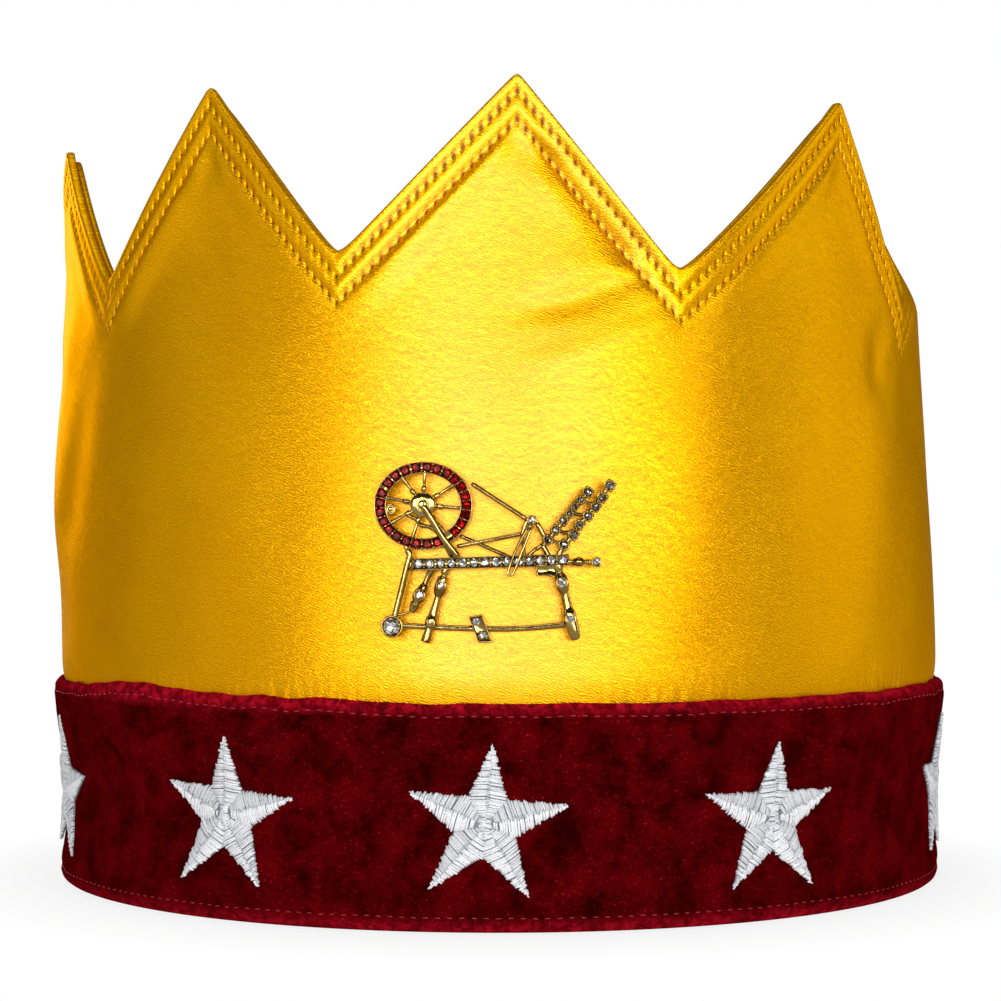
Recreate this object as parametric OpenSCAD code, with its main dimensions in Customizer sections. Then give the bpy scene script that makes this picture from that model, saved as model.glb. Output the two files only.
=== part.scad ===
// Soft satin crown with eight stitched points, a velvet band with
// embroidered stars, and a jewelled spinning wheel brooch on the front.
// The front faces -Y and the crown stands on z = 0.

/* [Crown wall] */
// Outer radius of the satin wall at the head opening
rim_r = 93; // [89:0.5:97]
// How far the wall swells out just above the band
swell = 2.7; // [2:0.1:3]
// How far the wall draws in towards the points
taper = 2.6; // [0:0.1:4]
// How far the upper part of the crown sways to its right side
sway = 1.4; // [0:0.1:2]
// Thickness of the outer satin layer
satin_t = 1.2; // [1:0.1:1.5]
// Thickness of the satin lining
lining_t = 0.9; // [0.8:0.1:1.2]
// Gap between the outer layer and the lining
layer_gap = 0.2; // [0.15:0.05:0.3]
// How far the middle of each point lies inside the round
point_flat = 0.8; // [0:0.1:1.5]
// How far the cloth stands out in a ridge under each valley
valley_ridge = 0.6; // [0:0.1:1]

/* [Velvet band] */
// Height of the band
band_h = 43; // [43:0.5:44]
// Thickness of the velvet turned under the bottom edge
turn_under = 1.3; // [1.1:0.1:1.6]

/* [Stars] */
// Size of the stars, as a share of the embroidered ones
star_scale = 1; // [0.8:0.02:1]
// Width of a star's body between its arms, as a share of its reach
star_inner = 0.4; // [0.36:0.01:0.44]
// Height of the stitching at the middle of a star
star_pad = 0.85; // [0.5:0.05:1.2]

/* [Brooch] */
// Height of the middle of the brooch above the bottom edge
brooch_z = 71.4; // [68:0.2:84]
// Depth of the hollow that the brooch presses into the satin
brooch_dent = 1; // [0:0.1:1.5]
// Diameter of the red stones round the wheel
red_stone_d = 1.7; // [1.5:0.05:1.75]
// Diameter of the clear stones along the table
table_stone_d = 1.6; // [1.4:0.05:1.7]

/* [Hidden] */

// The eight points, going round from the front towards +X.
// Columns: tip angle, tip height, angle of the valley after it, its height,
// slope at which the point leans in.
TIP_A = 0; TIP_Z = 1; VALLEY_A = 2; VALLEY_Z = 3; LEAN = 4;
POINTS = [
    [  2.2, 162.4,  21.7, 123.7,  0.01],
    [ 48.4, 161.4,  64.2, 120.3,  0.02],
    [ 90.0, 157.5, 111.0, 126.5,  0.55],
    [129.0, 160.0, 155.0, 127.0,  0.06],
    [181.0, 161.5, 207.0, 127.5, -0.03],
    [232.0, 162.0, 256.0, 126.5,  0.05],
    [283.3, 156.2, 303.3, 124.4, -0.01],
    [322.3, 162.4, 340.7, 127.0,  0.01]];
point_count = len(POINTS);
lean_from = 121.5;  // height where a leaning point starts to bend
lean_bend = 3;      // height over which it bends

// Slow waves of the wall above the band.
// Columns: waves in a turn, height of the wave, angle of a crest.
WAVES = [
    [1, sway, 270],
    [2, 0.5,   60],
    [3, 0.3,   20],
    [5, 0.25, 100]];
wave_from = 44;
wave_to = 90;

// Soft folds of the satin. Columns: angle and height of the upper end, angle
// and height of the lower end, width in degrees, depth (a ridge is negative).
FOLDS = [
    [ -62, 124,  -69,  66, 5,  0.6],
    [ -72, 122,  -80,  62, 5, -0.5],
    [ -83, 175,  -83, 104, 14, -0.9],
    [   5, 142,   24, 112, 5,  0.4],
    [  64, 120,   70,  84, 6,  0.6],
    [  28, 118,   50,  66, 7,  0.3],
    [ 120, 124,  112,  60, 6,  0.6],
    [ 160, 122,  171,  58, 6,  0.7],
    [ 214, 124,  204,  64, 6,  0.6],
    [ 262, 122,  254,  60, 6,  0.6]];
fold_fade = 14;  // height over which a fold fades at its ends

swell_from = 30;   // heights between which the wall swells out
swell_to = 48;
taper_from = 66;   // heights between which the wall draws in
taper_to = 138;
ridge_from = 70;   // height at which the ridges under the valleys start
ridge_rise = 55;   // height over which they grow
ridge_width = 5;   // their width in degrees
flat_from = 90;    // heights between which the points grow flat
flat_to = 135;
dent_width = 13;   // size of the hollow behind the brooch, in degrees
dent_height = 28;  // and in height
wall_z = turn_under + 0.2; // bottom edge of the wall and its lining

// Half an edge from valley to tip, as shares of its width, and how much
// the valley and the tip are rounded.
EDGE_STEPS = [0, 0.1, 0.36, 0.64, 0.9];
valley_round = 0.05;
tip_round = 0.015;

// Level rows of the wall, and shares of the height from there to the edge.
shoulder_z = 112;
LEVEL_ROWS = [swell_from, (swell_from + swell_to) / 2, swell_to, 72, 92, shoulder_z];
POINT_ROWS = [0.22, 0.5, 0.76, 1];

// Outer profile of the band: height above the bottom edge, and how far it
// lies outside rim_r. It is full at both edges and drawn in by the stars.
BAND = [
    [0, 1.5], [0.4, 2.2], [1.2, 2.8], [2.6, 3.1], [6, 2.9], [12, 2.2],
    [18, 1.9], [24, 2.1], [30, 3.0], [35, 3.8], [38.5, 4.15], [41, 4.1],
    [42.3, 3.6], [43, 2.9]];
profile_h = 43;    // height that the profile is written for
band_gap = 0.2;
band_top_z = 42.4; // height at which the band first meets the wall

// Stars. Columns: angle, height, turn (clockwise), then the reach of the five
// tips, clockwise from the top one.
STARS = [
    [-73.0, 20.4, 4.0, 15.8, 15.9, 15.8, 15.9, 15.8],
    [-33.6, 20.6, 3.9, 15.5, 15.9, 15.9, 17.0, 15.3],
    [ -1.5, 20.4, 5.1, 15.5, 16.0, 15.7, 16.4, 15.8],
    [ 33.7, 19.9, 1.1, 14.9, 16.1, 16.3, 16.3, 16.7],
    [ 77.0, 20.3, 2.0, 15.8, 15.8, 15.9, 16.0, 15.9],
    [112.0, 20.4, 3.5, 15.7, 15.9, 15.8, 16.1, 15.8],
    [147.0, 20.5, 2.5, 15.8, 16.0, 15.7, 15.9, 15.9],
    [182.0, 20.2, 4.5, 15.6, 15.8, 16.0, 15.9, 15.7],
    [217.0, 20.6, 3.0, 15.7, 15.9, 15.9, 16.0, 15.8],
    [252.0, 20.3, 1.5, 15.9, 15.8, 15.7, 16.1, 15.9]];
star_edge_t = 0.35;  // stitching at a star's edge
star_lift = 0.3;     // clearance of a star's underside over the velvet
star_ridge = 0.9;    // height half way out along an arm, as a share of star_pad
star_hollow = 0.7;   // height half way out between two arms

function smooth(t) = let (c = max(0, min(1, t))) c * c * (3 - 2 * c);
function bell(t) = exp(-t * t);
function turn_to(a, b) = ((a - b + 540) % 360) - 180; // signed angle from b to a
function at(a, r, z) = [r * sin(a), -r * cos(a), z];  // angle 0 is the front
function sum(v) = v * [for (x = v) 1];

// The top edge runs from valley to tip to valley
function valley_before(i) = i == 0
    ? [POINTS[point_count - 1][VALLEY_A] - 360, POINTS[point_count - 1][VALLEY_Z]]
    : [POINTS[i - 1][VALLEY_A], POINTS[i - 1][VALLEY_Z]];
function edge_share(f) = f
    + (sqrt(f * f + valley_round * valley_round) - f) * (1 - f)
    - (sqrt((1 - f) * (1 - f) + tip_round * tip_round) - (1 - f)) * f;

// One column of the wall: its angle, edge height, share of the way from
// valley to tip, and the slope at which it leans in
function column(from_a, from_z, p, f) = [
    from_a + (p[TIP_A] - from_a) * f,
    from_z + (p[TIP_Z] - from_z) * edge_share(f),
    f, p[LEAN]];
COLUMNS = [for (i = [0 : point_count - 1]) let (p = POINTS[i], v = valley_before(i))
    each concat(
        [for (f = EDGE_STEPS) column(v[0], v[1], p, f)],
        [column(v[0], v[1], p, 1)],
        [for (k = [len(EDGE_STEPS) - 1 : -1 : 1])
            column(p[VALLEY_A], p[VALLEY_Z], p, EDGE_STEPS[k])])];

function waves(a, z) = smooth((z - wave_from) / (wave_to - wave_from))
    * sum([for (w = WAVES) w[1] * cos(w[0] * (a - w[2]))]);
function ridges(a, z) = valley_ridge * smooth((z - ridge_from) / ridge_rise)
    * max([for (p = POINTS) bell(turn_to(a, p[VALLEY_A]) / ridge_width)]);
function folds(a, z) = sum([for (f = FOLDS)
    let (across = turn_to(a, f[2] + (f[0] - f[2]) * (z - f[3]) / (f[1] - f[3])))
    f[5] * bell(across / f[4])
        * smooth((z - f[3]) / fold_fade) * smooth((f[1] - z) / fold_fade)]);
function dent(a, z) = brooch_dent * bell(turn_to(a, 0) / dent_width)
    * bell((z - brooch_z) / dent_height);
function lean(z) = let (over = max(0, z - lean_from)) over * over / (over + lean_bend);
function swelling(z) = swell * smooth((z - swell_from) / (swell_to - swell_from));
function drawn_in(z) = taper * smooth((z - taper_from) / (taper_to - taper_from));

// Outer radius of the satin wall at column c and height z
function wall_r(c, z) = rim_r + swelling(z) - drawn_in(z)
    + waves(c[0], z) + ridges(c[0], z) - folds(c[0], z) - dent(c[0], z)
    - point_flat * smooth((z - flat_from) / (flat_to - flat_from)) * (1 - pow(1 - c[2], 2))
    - c[3] * lean(z);

function rows(c) = concat([wall_z], LEVEL_ROWS,
    [for (s = POINT_ROWS) shoulder_z + s * (c[1] - shoulder_z)]);

// A layer of the wall from radius inset - t to radius inset, as one closed
// ring of sections: up its outer side and down its inner side
module layer(inset, t) {
    sections = [for (c = COLUMNS) let (zs = rows(c))
        concat(
            [for (z = zs) at(c[0], wall_r(c, z) - inset, z)],
            [for (k = [len(zs) - 1 : -1 : 0]) at(c[0], wall_r(c, zs[k]) - inset - t, zs[k])])];
    n = len(sections);
    m = len(sections[0]);
    // Both sides of a wall are split along the same diagonals
    polyhedron(
        points = [for (s = sections) each s],
        faces = [for (i = [0 : n - 1], j = [0 : m - 1])
            let (i2 = (i + 1) % n, j2 = (j + 1) % m,
                 a = i * m + j, b = i * m + j2, c = i2 * m + j2, d = i2 * m + j)
            each j < m / 2 ? [[a, b, c], [a, c, d]] : [[a, b, d], [b, c, d]]],
        convexity = 10);
}

module satin_wall() {
    color("gold")
        difference() {
            layer(0, satin_t);
            pin_holes();
        }
}

module satin_lining() {
    color("goldenrod")
        difference() {
            layer(satin_t + layer_gap, lining_t);
            pin_holes();
        }
}

// Velvet band, turned under the bottom edge of the wall and the lining
module velvet_band() {
    inner_r = rim_r - satin_t - layer_gap - lining_t;
    wall_line = [for (z = [swell_from, (swell_from + swell_to) / 2, swell_to])
        [z, rim_r + swelling(z) + band_gap]];
    inside = [for (z = [band_top_z, wall_line[1][0], wall_line[0][0]])
        [lookup(z, wall_line), z]];
    color("darkred")
        rotate_extrude($fn = 180)
            polygon(concat(
                [[inner_r, 0]],
                [for (b = BAND) [rim_r + b[1], b[0] * band_h / profile_h]],
                inside,
                [[rim_r + band_gap, turn_under], [inner_r, turn_under]]));
}

function band_r(z) = rim_r + lookup(z * profile_h / band_h, BAND);

// One embroidered star, wrapped round the band: an outline ring, a ring half
// way in and the centre, above and below
module star(i) {
    s = STARS[i];
    reach = [for (k = [0 : 4]) s[3 + k] * star_scale];
    inner = sum(reach) / 5 * star_inner;
    outline = [for (k = [0 : 9]) let (
        r = k % 2 == 0 ? reach[k / 2] : inner,
        b = 90 - s[2] - 36 * k) [r * cos(b), r * sin(b)]];
    function wrapped(p, h) = let (z = s[1] + p[1])
        at(s[0] + p[0] / band_r(s[1]) * 180 / PI, band_r(z) + h, z);
    low = star_lift;
    edge_h = star_lift + star_edge_t;
    ridge_h = star_lift + star_pad * star_ridge;
    between_h = star_lift + star_pad * star_hollow;
    top = concat(
        [for (p = outline) wrapped(p, edge_h)],
        [for (k = [0 : 9]) wrapped(outline[k] / 2, k % 2 == 0 ? ridge_h : between_h)],
        [wrapped([0, 0], star_lift + star_pad)]);
    bottom = concat(
        [for (p = outline) wrapped(p, low)],
        [for (p = outline) wrapped(p / 2, low)],
        [wrapped([0, 0], low)]);
    b0 = len(top);
    color("white")
        polyhedron(points = concat(top, bottom), faces = [for (k = [0 : 9])
            let (k2 = (k + 1) % 10)
            each [
                [k, k2, 10 + k2], [k, 10 + k2, 10 + k], [10 + k, 10 + k2, 20],
                [b0 + k, b0 + 10 + k2, b0 + k2], [b0 + k, b0 + 10 + k, b0 + 10 + k2],
                [b0 + 10 + k, b0 + 20, b0 + 10 + k2],
                [k, b0 + k, b0 + k2], [k, b0 + k2, k2]]]);
}

// The brooch is drawn in its own plane: x to the right, y up, z towards the
// viewer, with z = 0 just in front of the satin.
brooch_gap = 0.3;
brooch_face_r = rim_r + swelling(brooch_z) - drawn_in(brooch_z)
    + waves(0, brooch_z) - brooch_dent + brooch_gap;
module on_brooch() {
    translate([0, -brooch_face_r, brooch_z]) rotate([90, 0, 0]) children();
}

// A round rod between two points. A table of rods has the columns: one end,
// the other end, radius.
module rod(p, q, r) {
    d = q - p;
    translate(p) rotate([0, acos(d[2] / norm(d)), atan2(d[1], d[0])])
        cylinder(h = norm(d), r = r, $fn = 24);
}

module rods(table) {
    for (row = table) rod(row[0], row[1], row[2]);
}

// Rods through a run of points. Every second rod is slimmer, and its ends
// run a little way into its neighbours.
slim = 0.93;        // radius of a slim rod, as a share of the others'
bend_overlap = 0.3; // length that it runs on, in radii
module bent_rod(route, r) {
    for (k = [0 : len(route) - 2]) {
        run = (route[k + 1] - route[k]) / norm(route[k + 1] - route[k]) * bend_overlap * r;
        if (k % 2 == 0) rod(route[k], route[k + 1], r);
        else rod(route[k] - run, route[k + 1] + run, slim * r);
    }
}

// A turned spindle from p towards q; profile rows are distance and radius
module turned(p, q, profile) {
    d = q - p;
    translate(p) rotate([0, acos(d[2] / norm(d)), atan2(d[1], d[0])])
        rotate_extrude($fn = 24)
            polygon(concat([[0, profile[0][0]]], [for (s = profile) [s[1], s[0]]],
                [[0, profile[len(profile) - 1][0]]]));
}

// A cut stone with an eight-sided table, its girdle at z = 0
table_share = 0.6;    // width of the table in the stone's width
crown_share = 0.18;   // height above the girdle
pavilion_share = 0.4; // depth below the girdle
stone_gap = 0.05;
seat_reach = 4;       // length of the cut that clears the metal above a stone
module stone(p, d) {
    translate(p) rotate([0, 0, 22.5]) rotate_extrude($fn = 8)
        polygon([[0, -pavilion_share * d], [d / 2, 0],
                 [table_share * d / 2, crown_share * d], [0, crown_share * d]]);
}
module seat(p, d) {
    depth = pavilion_share * d + stone_gap;
    translate([p[0], p[1], p[2] - depth])
        cylinder(h = depth + seat_reach, r = d / 2 + stone_gap, $fn = 24);
}

// Wheel: an oval rim, a domed hub and eight turned spokes
wheel_c = [-14.15, 8.83];
rim_out = [9.25, 8.25];
rim_in = [6.95, 6.1];
rim_z = [0.6, 1.8];
rim_stone_path = [8.15, 7.25];
hub_c = [-14.2, 9];
hub_r = 2.2;
axle_r = 0.85;
// Columns: radius, height above the brooch's back
HUB_PROFILE = [[0, 0.4], [hub_r, 0.4], [hub_r, 1.3], [1.95, 1.9], [1.4, 2.35],
    [axle_r, 2.5], [axle_r, 3.3], [0, 3.3]];
spoke_z = 1.15;
spoke_from = 1.4;   // where a spoke leaves the hub
spoke_into = 0.5;   // how far it runs into the rim
SPOKES = [33, 86.5, 127.5, 168.5, 209.5, 252.5, 308, 355];
// Columns: share of the spoke's length, radius
SPOKE_PROFILE = [[0, 0.3], [0.2, 0.3], [0.267, 0.5], [0.4, 0.5], [0.483, 0.28], [0.667, 0.36],
    [1, 0.36]];
// Runs of stones round the rim. Columns: first angle, spacing, how many.
// The front bar crosses the gap between the second and the third run.
RIM_RUNS = [[84.7, 14.9, 5], [161.5, 14.2, 10], [318, 14.2, 9]];
RED_STONES = [for (run = RIM_RUNS, k = [0 : run[2] - 1])
    let (a = run[0] + k * run[1])
    [wheel_c[0] + rim_stone_path[0] * cos(a), wheel_c[1] + rim_stone_path[1] * sin(a), rim_z[1]]];

function oval(size) = [for (k = [0 : 47]) [size[0] * cos(k * 7.5), size[1] * sin(k * 7.5)]];
module wheel() {
    translate([wheel_c[0], wheel_c[1], rim_z[0]])
        linear_extrude(rim_z[1] - rim_z[0])
            difference() {
                polygon(oval(rim_out));
                polygon(oval(rim_in));
            }
    translate([hub_c[0], hub_c[1], 0])
        rotate_extrude($fn = 48)
            polygon(HUB_PROFILE);
    for (a = SPOKES) {
        reach = 1 / norm([cos(a) / rim_in[0], sin(a) / rim_in[1]]) + spoke_into;
        turned([hub_c[0] + spoke_from * cos(a), hub_c[1] + spoke_from * sin(a), spoke_z],
               [hub_c[0] + reach * cos(a), hub_c[1] + reach * sin(a), spoke_z],
               [for (s = SPOKE_PROFILE) [s[0] * (reach - spoke_from), s[1]]]);
    }
}

// Table: a sloping bar with a row of clear stones
table_left = [-16.4, -2.15];
table_right = [13.1, -1.3];
table_half = 1.12;
table_z = [0.5, 2.1];
table_count = 14;
table_first = [-15, -2.08];
table_last = [11.9, -1.33];
TABLE_STONES = [for (k = [0 : table_count - 1])
    concat(table_first + (table_last - table_first) * k / (table_count - 1), table_z[1])];
module table() {
    d = table_right - table_left;
    translate([table_left[0], table_left[1], table_z[0]])
        rotate([0, 0, atan2(d[1], d[0])])
            translate([0, -table_half, 0])
                cube([norm(d), 2 * table_half, table_z[1] - table_z[0]]);
}

// Legs. Rows of a profile: distance from the top, radius.
leg_z = 1.3;
FRONT_LEG = [[0, 0.75], [1.3, 0.6], [1.8, 0.95], [2.6, 1.1], [4, 1.2], [5, 0.95], [5.6, 0.72],
    [7.5, 0.75], [9.2, 0.85], [10, 1.1], [10.8, 1.1], [11.5, 0.8], [12.5, 0.8], [14.1, 0.88]];
REAR_LEG = [[0, 0.8], [1.2, 0.6], [3.2, 0.55], [4, 0.8], [4.9, 1.2], [6, 1.2], [7.3, 1],
    [8.4, 0.75], [9.1, 0.6]];
END_LEG = [[0, 0.95], [1.6, 0.8], [2.3, 1.1], [3.3, 1.28], [4.3, 1.25], [5.5, 1], [7.5, 0.9],
    [8.6, 1], [9.6, 1.25], [11, 1.28], [12.8, 1.27], [14, 1.1], [14.5, 0.8]];
front_leg_ends = [[-9.9, -2.9, leg_z], [-13.75, -16.8, leg_z]];
rear_leg_ends = [[-12.5, -2.9, leg_z], [-16.4, -11.2, leg_z]];
end_leg_ends = [[11, -2.2, leg_z], [14.4, -16.4, leg_z]];
leg_link = [[-16.3, -11, 1.1], [-19.3, -11.7, 1.1], 0.22];
function along(ends, s) = ends[0] + (ends[1] - ends[0]) * s / norm(ends[1] - ends[0]);
function lifted(p, h) = [p[0], p[1], p[2] + h];
module legs() {
    turned(front_leg_ends[0], front_leg_ends[1], FRONT_LEG);
    turned(rear_leg_ends[0], rear_leg_ends[1], REAR_LEG);
    turned(end_leg_ends[0], end_leg_ends[1], END_LEG);
    rods([leg_link]);
}

// Footman rod, treadle bearing, sagging treadle bar and treadle plate
bearing_c = [-20, -13.75];
bearing_r = 2.1;
bearing_z = [0.3, 2.5];
TREADLE = [[-5.6, -11.9], [-3.2, -11.5], [-1.2, -16.7], [-3.8, -16.85]];
TREADLE_BAR = [[-18.4, -13.6, 1], [-11.5, -13.95, 1], [-4, -14.2, 1], [4.5, -14.15, 1],
    [13.6, -13.35, 1]];
treadle_bar_r = 0.56;
treadle_z = [0.3, 1.9];
FOOTMAN = [[-17.2, 0.6, 1.2], [-16.7, -0.5, 1.2], [-19.6, -12.4, 1.2]];
footman_r = 0.6;
FOOTMAN_RODS = [
    [[-17.1, 0.4, 1.2], [-17.8, 1.8, 1.2], 0.4],
    [[-16.1, -1.4, 1.2], [-17.4, -4.3, 1.1], 0.3]];
module treadle() {
    bent_rod(FOOTMAN, footman_r);
    rods(FOOTMAN_RODS);
    translate([bearing_c[0], bearing_c[1], bearing_z[0]])
        cylinder(h = bearing_z[1] - bearing_z[0], r = bearing_r, $fn = 48);
    bent_rod(TREADLE_BAR, treadle_bar_r);
    translate([0, 0, treadle_z[0]]) linear_extrude(treadle_z[1] - treadle_z[0]) polygon(TREADLE);
}

// Supports of the wheel, the hinge boss of the pin and the three drive bands
REAR_FORK = [[-17.5, 7.25, 0.8], [-15.2, 6.1, 0.8], [-14.9, 5.3, 0.8], [-11.8, 4.1, 0.8],
    [-8.7, -1, 0.85]];
rear_fork_r = 0.38;
boss_at = [-20.3, 8.2, 0.3];
boss_size = [1.05, 0.9];  // radius and height
// The front bar, then the three drive bands
BARS = [
    [[hub_c[0], hub_c[1], 2.9], [-7.55, -0.9, 1.7], 0.65],
    [[-5.1, 13, 1.3], [5.2, 6.3, 1.3], 0.42],
    [[-7.8, 1.2, 1.25], [4.4, 3.6, 1.25], 0.4],
    [[-7.2, 3.2, 0.85], [2.4, -0.95, 0.95], 0.36]];
module bars() {
    rods(BARS);
    bent_rod(REAR_FORK, rear_fork_r);
    translate(boss_at) cylinder(h = boss_size[1], r = boss_size[0], $fn = 32);
}

// Post with its stone, and the long leather loop over the table
post_stone_at = [6.2, 6.15, 2.1];
LOOP_LEFT = [[5.4, 4.8, 2.3], [3.2, 0.5, 2.7], [1.9, -3.95, 2.7]];
LOOP_RIGHT = [[6.1, 4.8, 2.3], [4.5, 0.6, 2.7], [2.6, -3.95, 2.7]];
loop_r = 0.27;
post_size = [0.95, 0.5, 2.3];  // radius, bottom and top
POST_RODS = [
    [[5.4, 6.4, 1.4], [4.2, 3, 1.4], 0.48],
    [[7.1, 5.7, 1.35], [8.7, 2.7, 1.2], 0.5],
    [[4.4, 3.3, 1.5], [4.8, -1, 1.1], 0.38]];
// The bar at the loop's lower end, its knot at the post and its peg
LOOP_RODS = [
    [[1.55, -3.95, 2.7], [2.9, -4, 2.7], 0.33],
    [[5.8, 5.3, 1], [5.8, 4.8, 2.5], 0.6],
    [[1.95, -3.6, 2.6], [2.1, -2.6, 1.2], 0.2]];
module post() {
    translate([post_stone_at[0], post_stone_at[1], post_size[1]])
        cylinder(h = post_size[2] - post_size[1], r = post_size[0], $fn = 24);
    rods(POST_RODS);
    bent_rod(LOOP_LEFT, loop_r);
    bent_rod(LOOP_RIGHT, loop_r);
    rods(LOOP_RODS);
}

// Flax: two stems of cups with a stone in each, tied by short links
flax_z = 1.7;
cup_wall = 0.26;
cup_from = 0.45;
stem_z = [0.85, 0.9];  // height of a stem at its start and end
// Columns: across, up, diameter of the stone
FLAX_LEFT = [[16.7, 11.35, 1.35], [15.3, 9.9, 1.0], [14.2, 8.6, 0.9], [13.25, 7.4, 0.85],
    [12.05, 6.05, 1.3], [10.65, 4.35, 1.2], [9.2, 2.45, 1.2]];
FLAX_RIGHT = [[20.8, 12.6, 1.5], [19.4, 10.4, 1.35], [18.15, 8.65, 1.25], [16.7, 6.9, 1.3],
    [15.1, 5.25, 1.25], [14, 3.35, 1.4], [12.2, 1.5, 1.4]];
// Columns: start across and up, end across and up, radius
FLAX_STEMS = [[8.2, 1.2, 16.7, 11.3, 0.4], [11.4, 0.1, 20.7, 12.5, 0.4],
    [9.2, 2.3, 6.9, 0.6, 0.36], [7.2, 1, 5.2, -0.9, 0.34], [8.1, 1.6, 9.6, -1, 0.5],
    [11.9, 1, 10.9, -1.2, 0.55], [9.6, 2.6, 12.2, 1.4, 0.3], [10.8, 4.2, 14, 3.5, 0.3],
    [13.4, 7.4, 16.5, 7.1, 0.3], [15.5, 9.9, 18.2, 8.9, 0.3]];
module cup(f) {
    translate([f[0], f[1], cup_from])
        cylinder(h = flax_z + stone_gap - cup_from, r = f[2] / 2 + cup_wall, $fn = 24);
}
module flax() {
    for (f = concat(FLAX_LEFT, FLAX_RIGHT)) cup(f);
    for (s = FLAX_STEMS) rod([s[0], s[1], stem_z[0]], [s[2], s[3], stem_z[1]], s[4]);
}

// Handle at the end of the table, and the bracket under it
handle_stone_at = [18.3, -1.72, 1.95];
handle_cup = [1.05, 0.6, 2.1];  // radius, bottom and top
handle_ends = [[12.9, -1.65, 1.3], [18, -1.72, 1.3]];
HANDLE = [[0, 0.45], [0.8, 0.42], [1.3, 0.7], [2.1, 0.95], [2.9, 0.7], [3.3, 0.38], [3.7, 0.6],
    [4, 0.38], [5.2, 0.4]];
BRACKET = [[7, -2.2], [11, -2.2], [11, -4.8], [10, -4.4], [9, -4.25], [7.4, -4.3], [7, -4]];
bracket_z = [0.6, 1.7];
module handle() {
    turned(handle_ends[0], handle_ends[1], HANDLE);
    translate([handle_stone_at[0], handle_stone_at[1], handle_cup[1]])
        cylinder(h = handle_cup[2] - handle_cup[1], r = handle_cup[0], $fn = 24);
    translate([0, 0, bracket_z[0]]) linear_extrude(bracket_z[1] - bracket_z[0]) polygon(BRACKET);
}

// Columns: place in the brooch's plane, diameter
bearing_stone = [[bearing_c[0], bearing_c[1], bearing_z[1] - 0.1], 3.1];
post_stone = [post_stone_at, 1.25];
handle_stone = [handle_stone_at, 1.35];
treadle_stone_top = [[-4.2, -12.85, 1.9], 1.5];
treadle_stone_bottom = [[-2.9, -15.3, 1.9], 1.6];
front_leg_stone_top = [lifted(along(front_leg_ends, 3.3), 0.95), 1.5];
front_leg_stone_bottom = [lifted(along(front_leg_ends, 10.5), 0.85), 1.15];
rear_leg_stone = [lifted(along(rear_leg_ends, 5.5), 0.95), 1.7];
end_leg_stone_top = [lifted(along(end_leg_ends, 3.5), 1.1), 1.75];
end_leg_stone_bottom = [lifted(along(end_leg_ends, 10.4), 1.1), 1.65];
SINGLE_STONES = [bearing_stone, post_stone, handle_stone, treadle_stone_top,
    treadle_stone_bottom, front_leg_stone_top, front_leg_stone_bottom, rear_leg_stone,
    end_leg_stone_top, end_leg_stone_bottom];

module brooch_frame() {
    color("goldenrod")
        on_brooch()
            difference() {
                union() {
                    wheel();
                    table();
                    legs();
                    treadle();
                    bars();
                    post();
                    flax();
                    handle();
                }
                for (p = RED_STONES) seat(p, red_stone_d);
                for (p = TABLE_STONES) seat(p, table_stone_d);
                for (f = concat(FLAX_LEFT, FLAX_RIGHT)) seat([f[0], f[1], flax_z], f[2]);
                for (s = SINGLE_STONES) seat(s[0], s[1]);
            }
}

// Pin: two posts through the cloth, and a bar behind the lining
pin_across = 8;
pin_up = -1.85;
pin_r = 0.4;
pin_bar_z = -3.9;
pin_bar_over = 1;       // how far the bar runs past each post
pin_bar_size = [1.2, 0.7]; // its height and thickness
post_clear = 0.05;      // gap between a post and the brooch
hole_clear = 0.1;       // gap round a post in the cloth
hole_z = [-6, 1];
module brooch_pin() {
    color("silver")
        on_brooch() {
            for (s = [-1, 1])
                translate([s * pin_across, pin_up, pin_bar_z])
                    cylinder(h = table_z[0] - post_clear - pin_bar_z, r = pin_r, $fn = 24);
            translate([0, pin_up, pin_bar_z])
                cube([2 * (pin_across + pin_bar_over), pin_bar_size[0], pin_bar_size[1]], center = true);
        }
}
module pin_holes() {
    on_brooch()
        for (s = [-1, 1])
            translate([s * pin_across, pin_up, hole_z[0]])
                cylinder(h = hole_z[1] - hole_z[0], r = pin_r + hole_clear, $fn = 24);
}

module stones(places, d) {
    color("darkred")
        on_brooch()
            for (p = places) stone(p, d);
}
module table_stones() {
    color("lightcyan")
        on_brooch()
            for (p = TABLE_STONES) stone(p, table_stone_d);
}
module flax_stones(rows) {
    color("lightcyan")
        on_brooch()
            for (f = rows) stone([f[0], f[1], flax_z], f[2]);
}
module clear_stone(s) {
    color("lightcyan")
        on_brooch()
            stone(s[0], s[1]);
}

satin_wall();
satin_lining();
velvet_band();
for (i = [0 : len(STARS) - 1])
    star(i);
brooch_frame();
brooch_pin();
stones(RED_STONES, red_stone_d);  // wheel_stones
table_stones();
flax_stones(FLAX_LEFT);  // flax_stones_left
flax_stones(FLAX_RIGHT);  // flax_stones_right
clear_stone(bearing_stone);  // treadle_bearing_stone
clear_stone(post_stone);
clear_stone(handle_stone);
clear_stone(treadle_stone_top);
clear_stone(treadle_stone_bottom);
clear_stone(front_leg_stone_top);
clear_stone(front_leg_stone_bottom);
clear_stone(rear_leg_stone);
clear_stone(end_leg_stone_top);
clear_stone(end_leg_stone_bottom);
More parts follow.
